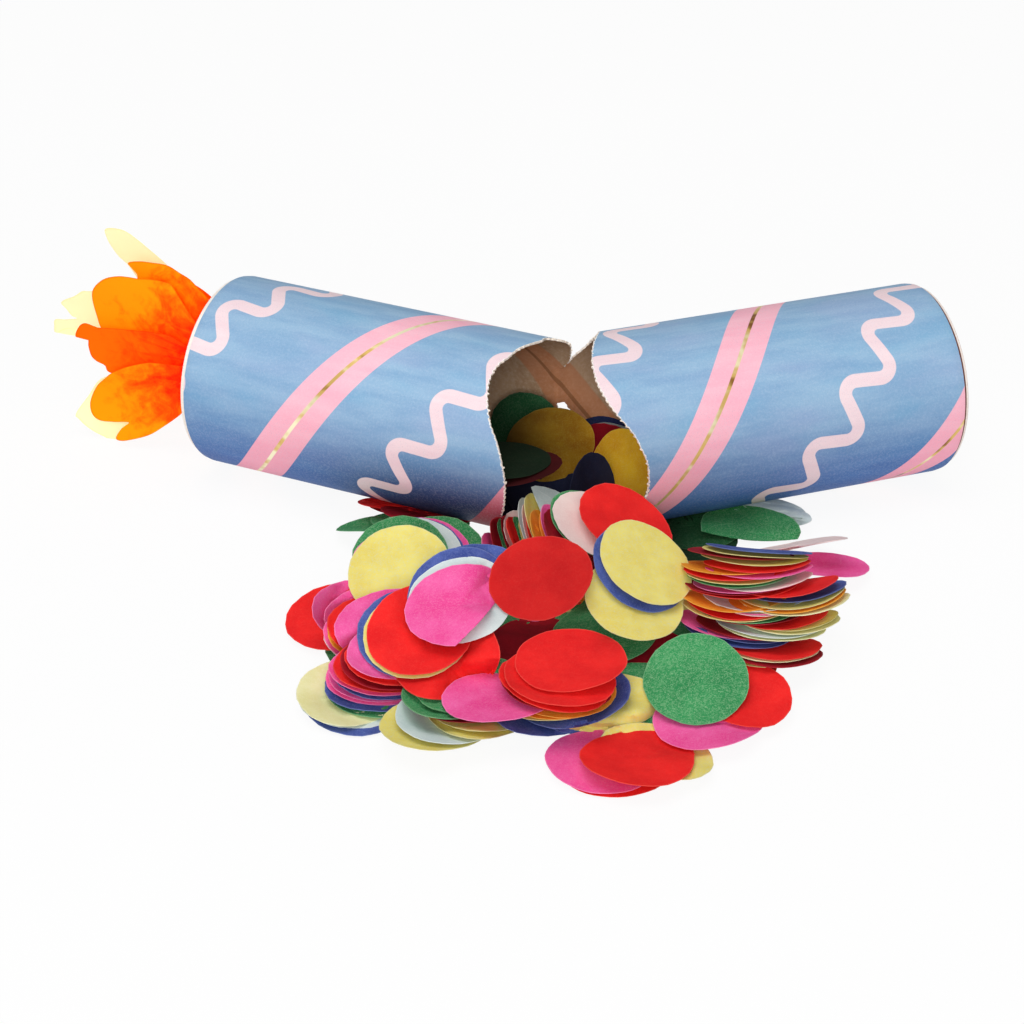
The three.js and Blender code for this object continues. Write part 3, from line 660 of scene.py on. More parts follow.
def lathe(name, body, face_x, outwards, profile, material, sides=96, pleat=None, ring=False):
    """A piece turned round the tube's axis; profile is [radius, height outwards from face_x]"""
    profile = np.asarray(profile, float)
    a = np.linspace(0, 360, sides, endpoint=False)[None].repeat(len(profile), 0)
    r = profile[:, 0][:, None].repeat(sides, 1)
    h = profile[:, 1][:, None].repeat(sides, 1)
    if pleat:
        r, h = pleat(r, h, a)
    grid = half_point(body, *round_tube(face_x + outwards * h, a, r))
    rows = len(profile)
    faces = grid_faces(rows, sides, 0, True, outwards < 0)
    start = list(range(sides))
    end = [(rows - 1) * sides + i for i in range(sides)]
    if not ring:
        faces.append(start if outwards < 0 else start[::-1])
        faces.append(end[::-1] if outwards < 0 else end)
    else:
        for i in range(sides):
            n = (i + 1) % sides
            quad = (end[i], end[n], start[n], start[i])
            faces.append(quad[::-1] if outwards < 0 else quad)
    piece = place_mesh(name, grid.reshape(-1, 3), faces, [material], None, {"height": h.ravel()})
    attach(piece, body)
    return piece


def end_cap(body, face_x, outwards, hole, material):
    """A pressed card disc with a rolled edge, a shallow ring in its face and a skirt in the tube"""
    outer = 24.1
    roll = [(outer - 0.5 + 0.5 * math.sin(t), -0.5 + 0.5 * math.cos(t))
            for t in np.linspace(0, math.pi / 2, 6)]
    inside = outer - 1.0
    hole = max(hole, 0.05)
    profile = [(hole, -1.2), (hole, -0.15), (hole + 0.15, 0.0), (17.0, 0.0), (17.4, -0.18),
               (18.2, -0.3), (19.0, -0.18), (19.4, 0.0)] + roll
    profile += [(outer, -0.8), (outer, -1.3), (outer, -7.8), (outer - 0.2, -8.0),
                (inside + 0.2, -8.0), (inside, -7.8), (inside, -1.6), (inside - 0.4, -1.2)]
    piece = lathe("cap_" + body, body, face_x, outwards, profile, material, 128, ring=True)
    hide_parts(("flame" if body == "flame_half" else "base") + "_end_cap")


# Tissue flame

FLAME_FACE = -FLAME_LENGTH - 1.5
BOSS = 7.5
LEAN_SPREAD = 12.0

# Outlines are read off the photograph in pixels, from the top of each petal round to its bottom
PETALS = [
    ("yellow_top", "pale", -2.0, [
        (176, 275), (165, 263), (152, 251), (140, 240), (130, 232), (121, 228), (107, 228), (108, 237),
        (112, 246), (119, 257), (127, 265), (140, 285)]),
    ("orange_top", "orange", 0.0, [
        (210, 301), (200, 291), (190, 280), (180, 273), (168, 265), (154, 262), (140, 261), (128, 263),
        (134, 269), (138, 275), (138, 281), (142, 300)]),
    ("big", "orange", 1.0, [
        (170, 285), (150, 280), (138, 279), (128, 277), (118, 276), (106, 278), (97, 284), (92, 291),
        (91, 299), (93, 309), (96, 318), (100, 328), (110, 340)]),
    ("yellow_tail", "pale", -1.0, [
        (104, 290), (91, 290), (84, 290), (76, 295), (63, 301), (68, 308), (73, 315), (78, 318),
        (66, 319), (56, 319), (55, 325), (56, 332), (66, 328), (78, 328), (100, 330)]),
    ("orange_middle", "deep", 2.0, [
        (170, 337), (140, 331), (118, 329), (97, 328), (90, 326), (84, 324), (78, 327), (75, 337),
        (87, 338), (89, 346), (93, 355), (99, 360), (107, 364), (112, 371), (134, 376)]),
    ("orange_low", "orange", 3.0, [
        (150, 362), (128, 366), (113, 372), (107, 377), (99, 384), (93, 394), (90, 404), (92, 414),
        (99, 420), (113, 422), (128, 423), (121, 429), (116, 438), (121, 441), (132, 440), (150, 435),
        (166, 425), (181, 414)]),
    ("yellow_low", "pale", 1.9, [
        (122, 374), (107, 377), (97, 382), (88, 396), (77, 413), (80, 418), (90, 427), (103, 435),
        (115, 440), (128, 430)]),
]
BACK_OUTLINE = [(-75, 20), (-50, 31), (-25, 33), (5, 34), (25, 31), (45, 25), (62, 17), (80, 11)]


def petal_lean(layer, radius):
    """How far in front of the tube's middle a petal is at a radius from the knot"""
    return layer * (1 + radius / LEAN_SPREAD)


def petal_polar(px, py, layer):
    """The [angle, radius] from the knot of a petal's edge that shows at a pixel of the photograph"""
    way = ray(px, py)
    radius = 35.0
    for _ in range(12):
        eye = into_half("flame_half", EYE)
        far = into_half("flame_half", EYE + way)
        step = far - eye
        depth = (-RADIUS - petal_lean(layer, radius) - eye[1]) / step[1]
        spot = eye + depth * step
        out, up = FLAME_FACE - spot[0], spot[2] - RADIUS
        radius = math.hypot(out, up)
    return math.degrees(math.atan2(up, out)), radius


def petal(name, layer, polar, material, seed):
    """A crinkled sheet that fans out from the knot to its outline"""
    chance = random.Random(seed)
    phases = [chance.uniform(0, 6.28) for _ in range(8)]
    outline = smooth_line(polar, 7)
    rows = 40
    share = np.linspace(0, 1, rows)[:, None]
    inner = 6.2 / (1 + abs(layer) * 0.08)
    angle = np.radians(outline[:, 0])[None]
    radius = inner + share * (outline[:, 1][None] - inner)
    degrees = np.degrees(angle)
    ripple = 0.55 * share * np.sin(degrees / 9.0 + phases[0])
    ripple = ripple + 0.16 * share * np.sin(degrees / 4.1 + phases[1])
    gather = 0.2 * np.exp(-3 * share) * np.sin(degrees / 2.1 + phases[2])
    fold = 0.4 * share ** 2 * np.sin(radius / 5.0 + phases[3] + degrees / 15)
    lean = petal_lean(layer, radius) + ripple + gather + fold
    out, up = radius * np.cos(angle), radius * np.sin(angle)
    grid = half_point("flame_half", FLAME_FACE - out, -RADIUS - lean, RADIUS + up)
    points, faces = thin_sheet(grid, 0.16)
    reach = np.clip((radius - inner) / 32.0, 0, 1.2)
    hem = 0 * radius
    hem[-1], hem[12:, 0], hem[12:, -1] = 1, 1, 1
    piece = place_mesh("petal_" + name, points, faces, [material], None,
                       both_sides(reach=reach, angle=degrees + 0 * radius, hem=hem))
    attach(piece, "flame_half")
    return piece


def flame():
    looks = {"orange": (FLAME_ORANGE, "tissue_orange"), "deep": (FLAME_DEEP, "tissue_orange"),
             "pale": (FLAME_YELLOW, "tissue_pale_yellow")}
    for k, (name, look, layer, outline) in enumerate(PETALS):
        polar = [petal_polar(px, py, layer) for px, py in outline]
        piece = petal(name, layer, polar[::-1], looks[look][0], 40 + k)
        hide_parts("flame_petal_" + name)
    piece = petal("back", -3.2, BACK_OUTLINE, FLAME_ORANGE, 60)
    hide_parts("flame_petal_back")


def knot():
    """The tissue gathered through the cap: a pleated boss outside and a knotted tail inside"""
    neck = 5.7
    profile = [(0.2, -6.4), (3.5, -6.5), (6.0, -6.2), (7.2, -5.0), (8.0, -4.0), (7.6, -2.6), (6.7, -1.6),
               (neck, -1.5), (neck, -0.6), (neck + 0.1, 0.3), (BOSS, 0.5)]
    profile += [(BOSS * math.cos(t), 0.5 + (BOSS - 0.5) * math.sin(t)) for t in np.linspace(0.15, 1.52, 12)]

    def pleat(r, h, a):
        depth = 0.05 + 0.05 * np.sin(np.radians(a * 3) + h)
        return r * (1 - depth * (0.5 + 0.5 * np.cos(np.radians(a * 17 + 20 * np.sin(h))))), h

    piece = lathe("knot", "flame_half", FLAME_FACE, -1, profile, FLAME_KNOT, 204, pleat)
    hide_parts("flame_knot")


# Confetti

# The heap is laid down disc by disc. Each disc is given by the ellipse it shows in the photograph:
# centre in pixels, how round it looks (1 is face on, 0.49 lies flat) and the tilt of its long axis.
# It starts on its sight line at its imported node's place, and settle() puts it behind what covers it.
TOP, BOTTOM = 300, 830
# Along a sight line: how far a disc stays behind its cover, off a wall, and off each disc under it
CLEAR, WALL_CLEAR, PILE_STEP = 0.17, 0.1, 0.2
# The lowest that a disc's face may be, and its middle at the start, and how thick its paper is
TABLE, LOWEST_MIDDLE, PAPER = 0.12, 0.6, 0.13
# Points this near to a fold line, in disc radii, are drawn onto it
FOLD_SNAP = 0.085
# The direction through each pixel's middle, for the rows from TOP to BOTTOM
ROWS, COLUMNS = np.mgrid[TOP:BOTTOM, 0:PICTURE] + 0.5
LINES = ray(COLUMNS, ROWS)
# The points of a disc: rings from its middle to its rim, in disc radii, and turns round it
SEGMENTS = 44
RINGS = np.array([0.015, 0.18, 0.35, 0.52, 0.68, 0.82, 0.93, 1.0])[:, None]
TURNS = np.linspace(0, 2 * math.pi, SEGMENTS, endpoint=False)[None]


def plane_depth(height):
    """How deep each sight line meets a level plane"""
    return (height - EYE[2]) / LINES[..., 2]


def wall_depth(body, radius, far_side):
    """How deep each sight line meets one half's wall; infinity where it misses or is torn away"""
    turn = -SWING[body]
    c, s = math.cos(turn), math.sin(turn)
    ex, ey, ez = into_half(body, EYE)
    lx, ly, lz = LINES[..., 0] * c - LINES[..., 1] * s, LINES[..., 0] * s + LINES[..., 1] * c, LINES[..., 2]
    oy, oz = ey + RADIUS, ez - RADIUS
    qa, qb, qc = ly * ly + lz * lz, oy * ly + oz * lz, oy * oy + oz * oz - radius * radius
    inside = qb * qb - qa * qc
    root = np.sqrt(np.maximum(inside, 0))
    depth = (-qb + (root if far_side else -root)) / qa
    x = ex + depth * lx
    angle = np.degrees(np.arctan2(oz + depth * lz, oy + depth * ly))
    edge = tear_edge(body, angle)
    if far_side:
        edge = np.maximum(edge, 0) if body == "flame_half" else np.minimum(edge, 0)
    there = (x < edge) & (x > -FLAME_LENGTH) if body == "flame_half" else (x > edge) & (x < BASE_LENGTH)
    return np.where((inside > 0) & there, depth, np.inf)


def cad_disc(name):
    """The middle, face direction and thickness of a confetti node, in millimetres"""
    points = np.array([v.co for v in frame["nodes"][name].data.vertices]) / MM
    points = np.unique(points.round(4), axis=0)
    centre = points.mean(0)
    _, _, axes = np.linalg.svd(points - centre)
    face = axes[2] if axes[2][2] > 0 else -axes[2]
    return centre, face, float(np.ptp((points - centre) @ face))


class Disc:
    """One tissue disc with its curl, before it is laid. An under one shows its lower side, a firm one is
    never moved, a stiff one is moved back whole, fold is (direction, distance) in degrees and radii,
    and the last argument is painted shade: how dark the disc is painted at its left and right."""

    def __init__(self, chance, colour, px, py, round_, tilt, curl=0.5, bend=None, flutter=0.2, size=1.0,
                 under=False, firm=False, stiff=False, fold=None, dusk=(0.0, 0.0)):
        self.colour, self.firm, self.stiff, self.dusk = colour, firm, stiff, dusk
        self.px, self.py = px, py
        way = ray(px, py)
        to_eye = -way / np.linalg.norm(way)
        right = np.array([1.0, 0.0, 0.0])
        right -= (right @ to_eye) * to_eye
        right /= np.linalg.norm(right)
        up = np.cross(to_eye, right)
        t = math.radians(tilt)
        self.long = math.cos(t) * right + math.sin(t) * up
        short = -math.sin(t) * right + math.cos(t) * up
        lean = math.sqrt(1 - round_ * round_) * (-1 if under else 1)
        self.face = round_ * to_eye + lean * short
        self.side = np.cross(self.face, self.long)
        self.round = round_
        self.way = way
        self.radius = DISC_RADIUS * size
        self.fold = None
        if fold:
            turn = math.radians(fold[0])
            self.fold = (math.cos(turn), math.sin(turn), fold[1])
        bend = math.radians(chance.uniform(0, 180) if bend is None else bend)
        self.bend = (math.cos(bend), math.sin(bend))
        self.curl, self.flutter = curl, flutter
        self.phase = [chance.uniform(0, 6.28) for _ in range(6)]
        self.saddle = chance.uniform(-0.4, 0.4)
        self.wave = chance.uniform(0.4, 1.0)
        self.depth = (0.5 - EYE[2]) / way[2]
        self.push = np.zeros((len(RINGS), SEGMENTS))

    def lift(self, x, y):
        """Height off the flat disc at x and y, both in disc radii"""
        along, across = x * self.bend[0] + y * self.bend[1], -x * self.bend[1] + y * self.bend[0]
        r2 = x * x + y * y
        a = np.arctan2(y, x)
        h = self.curl * (along ** 2 - 0.25) + self.curl * self.saddle * (across ** 2 - 0.25)
        h = h + self.flutter * self.wave * r2 * np.sin(3 * a + self.phase[0])
        h = h + 0.25 * self.flutter * np.sin(3.5 * x + self.phase[1]) * np.sin(4.5 * y + self.phase[2])
        return h

    def centre(self):
        return EYE + self.depth * self.way

    def surface(self, x, y):
        """Points of the disc's middle surface at x and y, both in disc radii"""
        h = self.lift(x, y)
        if self.fold:
            c, s, at = self.fold
            past = x * c + y * s - at
            near = np.where(abs(past) < FOLD_SNAP, past, 0)
            x, y, past = x - near * c, y - near * s, np.maximum(0, past - near)
            x, y, h = x - 1.94 * past * c, y - 1.94 * past * s, h - 0.45 * (1 - np.exp(-9 * past))
        return (self.centre() + (x * self.radius)[..., None] * self.long
                + (y * self.radius)[..., None] * self.side + h[..., None] * self.face)

    def shadow(self):
        """The pixels that the disc covers and how deep it is there"""
        centre = self.centre()
        reach = self.radius * FOCAL / self.depth + 3
        x0, x1 = max(0, int(self.px - reach)), min(PICTURE, int(self.px + reach) + 1)
        y0, y1 = max(TOP, int(self.py - reach)), min(BOTTOM, int(self.py + reach) + 1)
        lines = LINES[y0 - TOP:y1 - TOP, x0:x1]
        facing = lines @ self.face
        base = ((centre - EYE) @ self.face) / facing
        depth = base
        for _ in range(2):
            spot = EYE + depth[..., None] * lines - centre
            x, y = spot @ self.long / self.radius, spot @ self.side / self.radius
            depth = base + self.lift(np.clip(x, -1.2, 1.2), np.clip(y, -1.2, 1.2)) / facing
        ring = np.interp(np.hypot(x, y), RINGS[:, 0], np.arange(len(RINGS)))
        turn = np.mod(np.arctan2(y, x) / (2 * math.pi), 1) * SEGMENTS
        i0, j0 = np.minimum(ring.astype(int), len(RINGS) - 2), turn.astype(int) % SEGMENTS
        fi, fj, j1 = ring - i0, turn - turn.astype(int), (j0 + 1) % SEGMENTS
        push = ((1 - fi) * ((1 - fj) * self.push[i0, j0] + fj * self.push[i0, j1])
                + fi * ((1 - fj) * self.push[i0 + 1, j0] + fj * self.push[i0 + 1, j1]))
        there = x * x + y * y < 1.02
        if self.fold:
            there &= x * self.fold[0] + y * self.fold[1] < self.fold[2]
        return (slice(y0 - TOP, y1 - TOP), slice(x0, x1)), depth - push, there

    def read(self, field, pick, span):
        """The greatest or least value of a pixel field near each point of the disc's grid"""
        spots = self.surface(RINGS * np.cos(TURNS), RINGS * np.sin(TURNS)) - EYE
        depth = spots @ FORWARD
        px = PICTURE / 2 + FOCAL * spots[..., 0] / depth
        py = PICTURE / 2 - FOCAL * (spots @ UPWARD) / depth - TOP
        found = None
        for dx in (-span, 0, span):
            for dy in (-span, 0, span):
                i = np.clip((py + dy).astype(int), 0, BOTTOM - TOP - 1)
                j = np.clip((px + dx).astype(int), 0, PICTURE - 1)
                found = field[i, j] if found is None else pick(found, field[i, j])
        return found, depth

    def count(self, below):
        """Notes how many discs were laid under each point, and adds this one"""
        self.below, _ = self.read(below, np.maximum, 0)
        area, _, there = self.shadow()
        below[area] += there

    def tuck(self, over, solid):
        """Bends the disc back where later ones cover it, and keeps it off the table and the card"""
        if self.firm:
            self.cover(over)
            return
        if self.stiff:
            self.lean_back(over)
        cover, depth = self.read(over, np.maximum, 4)
        need = np.maximum(cover + CLEAR / max(self.round, 0.3) - depth, 0)
        push = need * 0 if self.stiff else self.spread(need, 12, 0.93)
        wall, _ = self.read(solid, np.minimum, 3)
        room = wall - WALL_CLEAR - PILE_STEP * self.below - depth
        if self.stiff:
            push = -self.spread(np.maximum(-room, 0), 30, 0.96)
        push = np.minimum(push, room)
        push[0] = push[0].mean()
        self.push = -push
        self.cover(over)

    def cover(self, over):
        """Notes how deep the disc is at each pixel where it is the deepest so far"""
        area, depth, there = self.shadow()
        over[area] = np.where(there, np.maximum(over[area], depth), over[area])

    def spread(self, need, passes, share):
        """Eases a push out over the disc round the places that need it"""
        push = need
        for _ in range(passes):
            around = (np.roll(push, 1, 1) + np.roll(push, -1, 1)) / 2
            inner = np.concatenate([push[:1], push[:-1]])
            outer = np.concatenate([push[1:], push[-1:]])
            push = np.maximum(need, share * (0.4 * around + 0.3 * (inner + outer)))
            push[0] = push[1].mean()
        return push

    def lean_back(self, over):
        """Moves the whole disc along its sight line until it is just behind what covers it"""
        area, depth, there = self.shadow()
        need = np.where(there, over[area] + CLEAR - depth, -np.inf).max()
        self.depth += float(max(need, 0))

    def grid(self):
        trim = 1 + 0.006 * np.sin(9 * TURNS + self.phase[3]) + 0.005 * np.sin(22 * TURNS + self.phase[4])
        spots = self.surface(RINGS * trim * np.cos(TURNS), RINGS * trim * np.sin(TURNS)) - EYE
        depth = spots @ FORWARD
        return EYE + spots * ((depth - self.push) / depth)[..., None]


class Paper:
    """Discs that make one piece, each with its own colour"""

    def __init__(self, name):
        self.name = name
        self.points, self.faces, self.index, self.rim, self.dusk, self.colours = [], [], [], [], [], []
        self.count = 0

    def add(self, disc):
        grid = disc.grid()
        points, faces = thin_sheet(grid, PAPER, True)
        rows, columns = grid.shape[:2]
        shut = rows * columns
        faces = [f for f in faces if not (shut <= f[0] < shut + columns and f[2] < columns)]
        faces.append(tuple(range(columns))[::-1])
        faces.append(tuple(range(shut, shut + columns)))
        if disc.colour not in self.colours:
            self.colours.append(disc.colour)
        self.points.append(points)
        self.faces += [[self.count + k for k in f] for f in faces]
        self.index += [self.colours.index(disc.colour)] * len(faces)
        # painted highlight on the rim
        rim = np.zeros((rows, columns))
        rim[-1] = 1.0
        self.rim += [rim.ravel(), rim.ravel()]
        # painted shade for each point, eased from the disc's left to its right
        to_right = RINGS * np.cos(TURNS) * disc.long[0] + RINGS * np.sin(TURNS) * disc.side[0]
        from_left = np.clip((to_right + 1) / 2, 0, 1)
        dusk = disc.dusk[0] + from_left * (disc.dusk[1] - disc.dusk[0])
        self.dusk += [dusk.ravel(), dusk.ravel()]
        self.count += len(points)

    def finish(self, body, *nodes):
        piece = place_mesh(self.name, np.concatenate(self.points), self.faces,
                           [TISSUE[c] for c in self.colours], self.index,
                           {"rim": np.concatenate(self.rim), "dusk": np.concatenate(self.dusk)})
        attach(piece, body)
        if nodes:
            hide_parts(*("confetti_" + n for n in nodes))
        return piece


PILE = []


def lay(name, discs, body="base_half", height=None, pitch=0.32, zone="heap", node=None, own=True):
    """Names one piece's discs from its bottom up; each is (colour, px, py, round, tilt) and may add extras.
    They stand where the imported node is, or with the top one's middle at a height above the table.
    The node has the piece's name or one of its own; a loose piece has none."""
    nodes = [node or name] if own else []
    start = cad_disc("confetti_" + nodes[0]) if nodes and height is None else None
    for k, entry in enumerate(discs):
        extras = dict(entry[5]) if len(entry) > 5 else {}
        level = extras.pop("z", None)
        disc = Disc(random.Random(f"{name} {k}"), *entry[:5], **extras)
        drop = (len(discs) - 1 - k) * pitch
        if level is not None or start is None:
            top = level if level is not None else height - drop
            disc.depth = (top - EYE[2]) / disc.way[2]
        else:
            centre, face, thick = start
            spot = centre + face * (thick / 2 - drop)
            disc.depth = float((spot - EYE) @ disc.way / (disc.way @ disc.way))
            low = (LOWEST_MIDDLE - EYE[2]) / disc.way[2]
            disc.depth = min(disc.depth, low)
        PILE.append((zone, name, nodes, body, disc))


def loose(name, discs, **more):
    """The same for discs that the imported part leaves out"""
    lay(name, discs, own=False, **more)


def settle():
    """Tucks the pile's discs under one another, from the last laid to the first, and makes the pieces"""
    below = np.zeros(LINES.shape[:2])
    for entry in PILE:
        entry[-1].count(below)
    floor = plane_depth(TABLE)
    halves = ("flame_half", "base_half")
    front = np.minimum.reduce([wall_depth(b, RADIUS, False) for b in halves])
    back = np.minimum.reduce([wall_depth(b, RADIUS - CARD, True) for b in halves])
    under = [wall_depth(b, RADIUS, True) for b in halves]
    under = np.maximum.reduce([np.where(np.isfinite(u), u, -np.inf) for u in under])
    inner = [wall_depth(b, RADIUS - CARD, False) for b in halves]
    inner = np.maximum.reduce([np.where(np.isfinite(u), u, -np.inf) for u in inner])
    mouth_wall = np.minimum(back, floor)
    over = np.full(floor.shape, -np.inf)
    solids = {"heap": np.minimum(np.minimum(front, floor), np.where(np.isfinite(front), front, mouth_wall)),
              "inside": mouth_wall, "under": floor}
    covers = {"heap": over, "inside": inner, "under": under}
    for zone in ("heap", "inside", "under"):
        if zone != "heap":
            over = np.maximum(over, covers[zone])
        for entry in reversed(PILE):
            if entry[0] == zone:
                entry[-1].tuck(over, solids[zone])
    papers = {}
    for zone, name, nodes, body, disc in PILE:
        paper = papers.setdefault(name, (Paper("paper_" + name), nodes, body))[0]
        paper.add(disc)
    for paper, nodes, body in papers.values():
        paper.finish(body, *nodes)


# How many discs the bed has, its lowest disc's height and the step to the next
BED_COUNT, BED_LOWEST, BED_STEP = 64, 0.4, 0.07


def bed():
    """Loose discs that lie flat under the heap"""
    chance = random.Random(77)
    colours = ["red", "magenta", "green", "navy", "crimson", "yellow", "crimson", "orange", "green", "navy"]
    corners = [(378, 600), (372, 676), (440, 702), (520, 698), (600, 715), (690, 700), (752, 668), (758, 600),
               (700, 575), (600, 560), (520, 560), (440, 565)]
    discs = []
    while len(discs) < BED_COUNT:
        px, py = chance.uniform(370, 760), chance.uniform(558, 716)
        inside = False
        for k, (x0, y0) in enumerate(corners):
            x1, y1 = corners[k - 1]
            if (y0 > py) != (y1 > py) and px < (x1 - x0) * (py - y0) / (y1 - y0) + x0:
                inside = not inside
        if inside:
            discs.append((chance.choice(colours), px, py, 0.49 + chance.uniform(-0.05, 0.05),
                          chance.uniform(-4, 4),
                          {"curl": 0.2, "flutter": 0.08, "z": BED_LOWEST + BED_STEP * len(discs)}))
    lay("under_heap", discs, node="bed")


# The loose stack at the right, from its bottom up: colour, right tip in pixels, how round, tilt, smile
RIGHT_STACK = [
    ("green", 806, 652, 0.34, -8, 0.6), ("yellow", 800, 655, 0.3, -10, 0.8),
    ("yellow", 797, 652, 0.28, -10, 0.8), ("crimson", 817, 654, 0.26, -7, 0.9),
    ("cream", 814, 649, 0.25, -7, 1.0), ("red", 816, 646, 0.24, -6, 1.1),
    ("navy", 786, 637, 0.24, -8, 1.0), ("navy", 790, 633, 0.22, -8, 1.0),
    ("magenta", 778, 630, 0.24, -9, 1.1), ("crimson", 798, 630, 0.22, -7, 1.2),
    ("cream", 820, 629, 0.22, -5, 1.3), ("pale_blue", 818, 625, 0.22, -4, 1.4),
    ("cream", 835, 618, 0.22, -2, 1.6), ("yellow", 833, 614, 0.21, -2, 1.6),
    ("red", 823, 612, 0.21, -2, 1.6), ("crimson", 800, 610, 0.2, -2, 1.7),
    ("green", 796, 607, 0.21, -2, 1.9), ("yellow", 786, 606, 0.2, -2, 1.9),
    ("red", 790, 602, 0.2, -1, 2.0), ("magenta", 811, 598, 0.2, 0, 2.0),
    ("pale_pink", 809, 596, 0.2, 0, 2.0), ("pale_blue", 806, 594, 0.19, 0, 2.0),
    ("orange", 784, 594, 0.19, 0, 1.8), ("cream", 845, 596, 0.18, 3, 2.0),
    ("orange", 841, 591, 0.18, 4, 2.0), ("yellow", 840, 588, 0.17, 4, 2.0),
    ("navy", 842, 583, 0.18, 4, 2.0), ("red", 792, 584, 0.17, 1, 1.6),
    ("crimson", 788, 581, 0.16, 1, 1.5), ("magenta", 796, 579, 0.15, 2, 1.5),
    ("red", 834, 578, 0.15, 4, 1.8), ("pale_pink", 808, 574, 0.15, 3, 1.5),
    ("green", 790, 571, 0.16, 2, 1.4), ("yellow", 788, 570, 0.15, 1, 1.4),
    ("red", 786, 567, 0.14, 1, 1.2), ("orange", 784, 564, 0.13, 0, 1.0),
    ("magenta", 808, 566, 0.13, 1, 1.0), ("red", 806, 562, 0.12, 0, 0.8),
    ("yellow", 803, 559, 0.11, -3, 0.6), ("crimson", 790, 556, 0.09, -4, 0.5),
    ("yellow", 804, 556, 0.07, -5, 0.5), ("navy", 808, 553, 0.035, -5, 0.4)
]
# Half a disc in pixels there, the lowest disc's height, the step to the next, and how many make the low piece
RIGHT_HALF = 49.0
RIGHT_LOWEST, RIGHT_PITCH = 3.2, 0.42
RIGHT_SPLIT = 16


def right_stack():
    """The same discs with their middles worked out from their tips, half a disc to the left"""
    discs = []
    for k, (colour, px, py, round_, tilt, smile) in enumerate(RIGHT_STACK):
        t = math.radians(tilt)
        lifted = smile * 0.75 * FOCAL / DISTANCE
        spot = (px - RIGHT_HALF * math.cos(t), py + RIGHT_HALF * math.sin(t) + lifted)
        discs.append((colour, *spot, round_, tilt,
                      {"curl": smile, "bend": 0, "flutter": 0.12, "firm": True,
                       "z": RIGHT_LOWEST + RIGHT_PITCH * k}))
    return discs[:RIGHT_SPLIT], discs[RIGHT_SPLIT:]


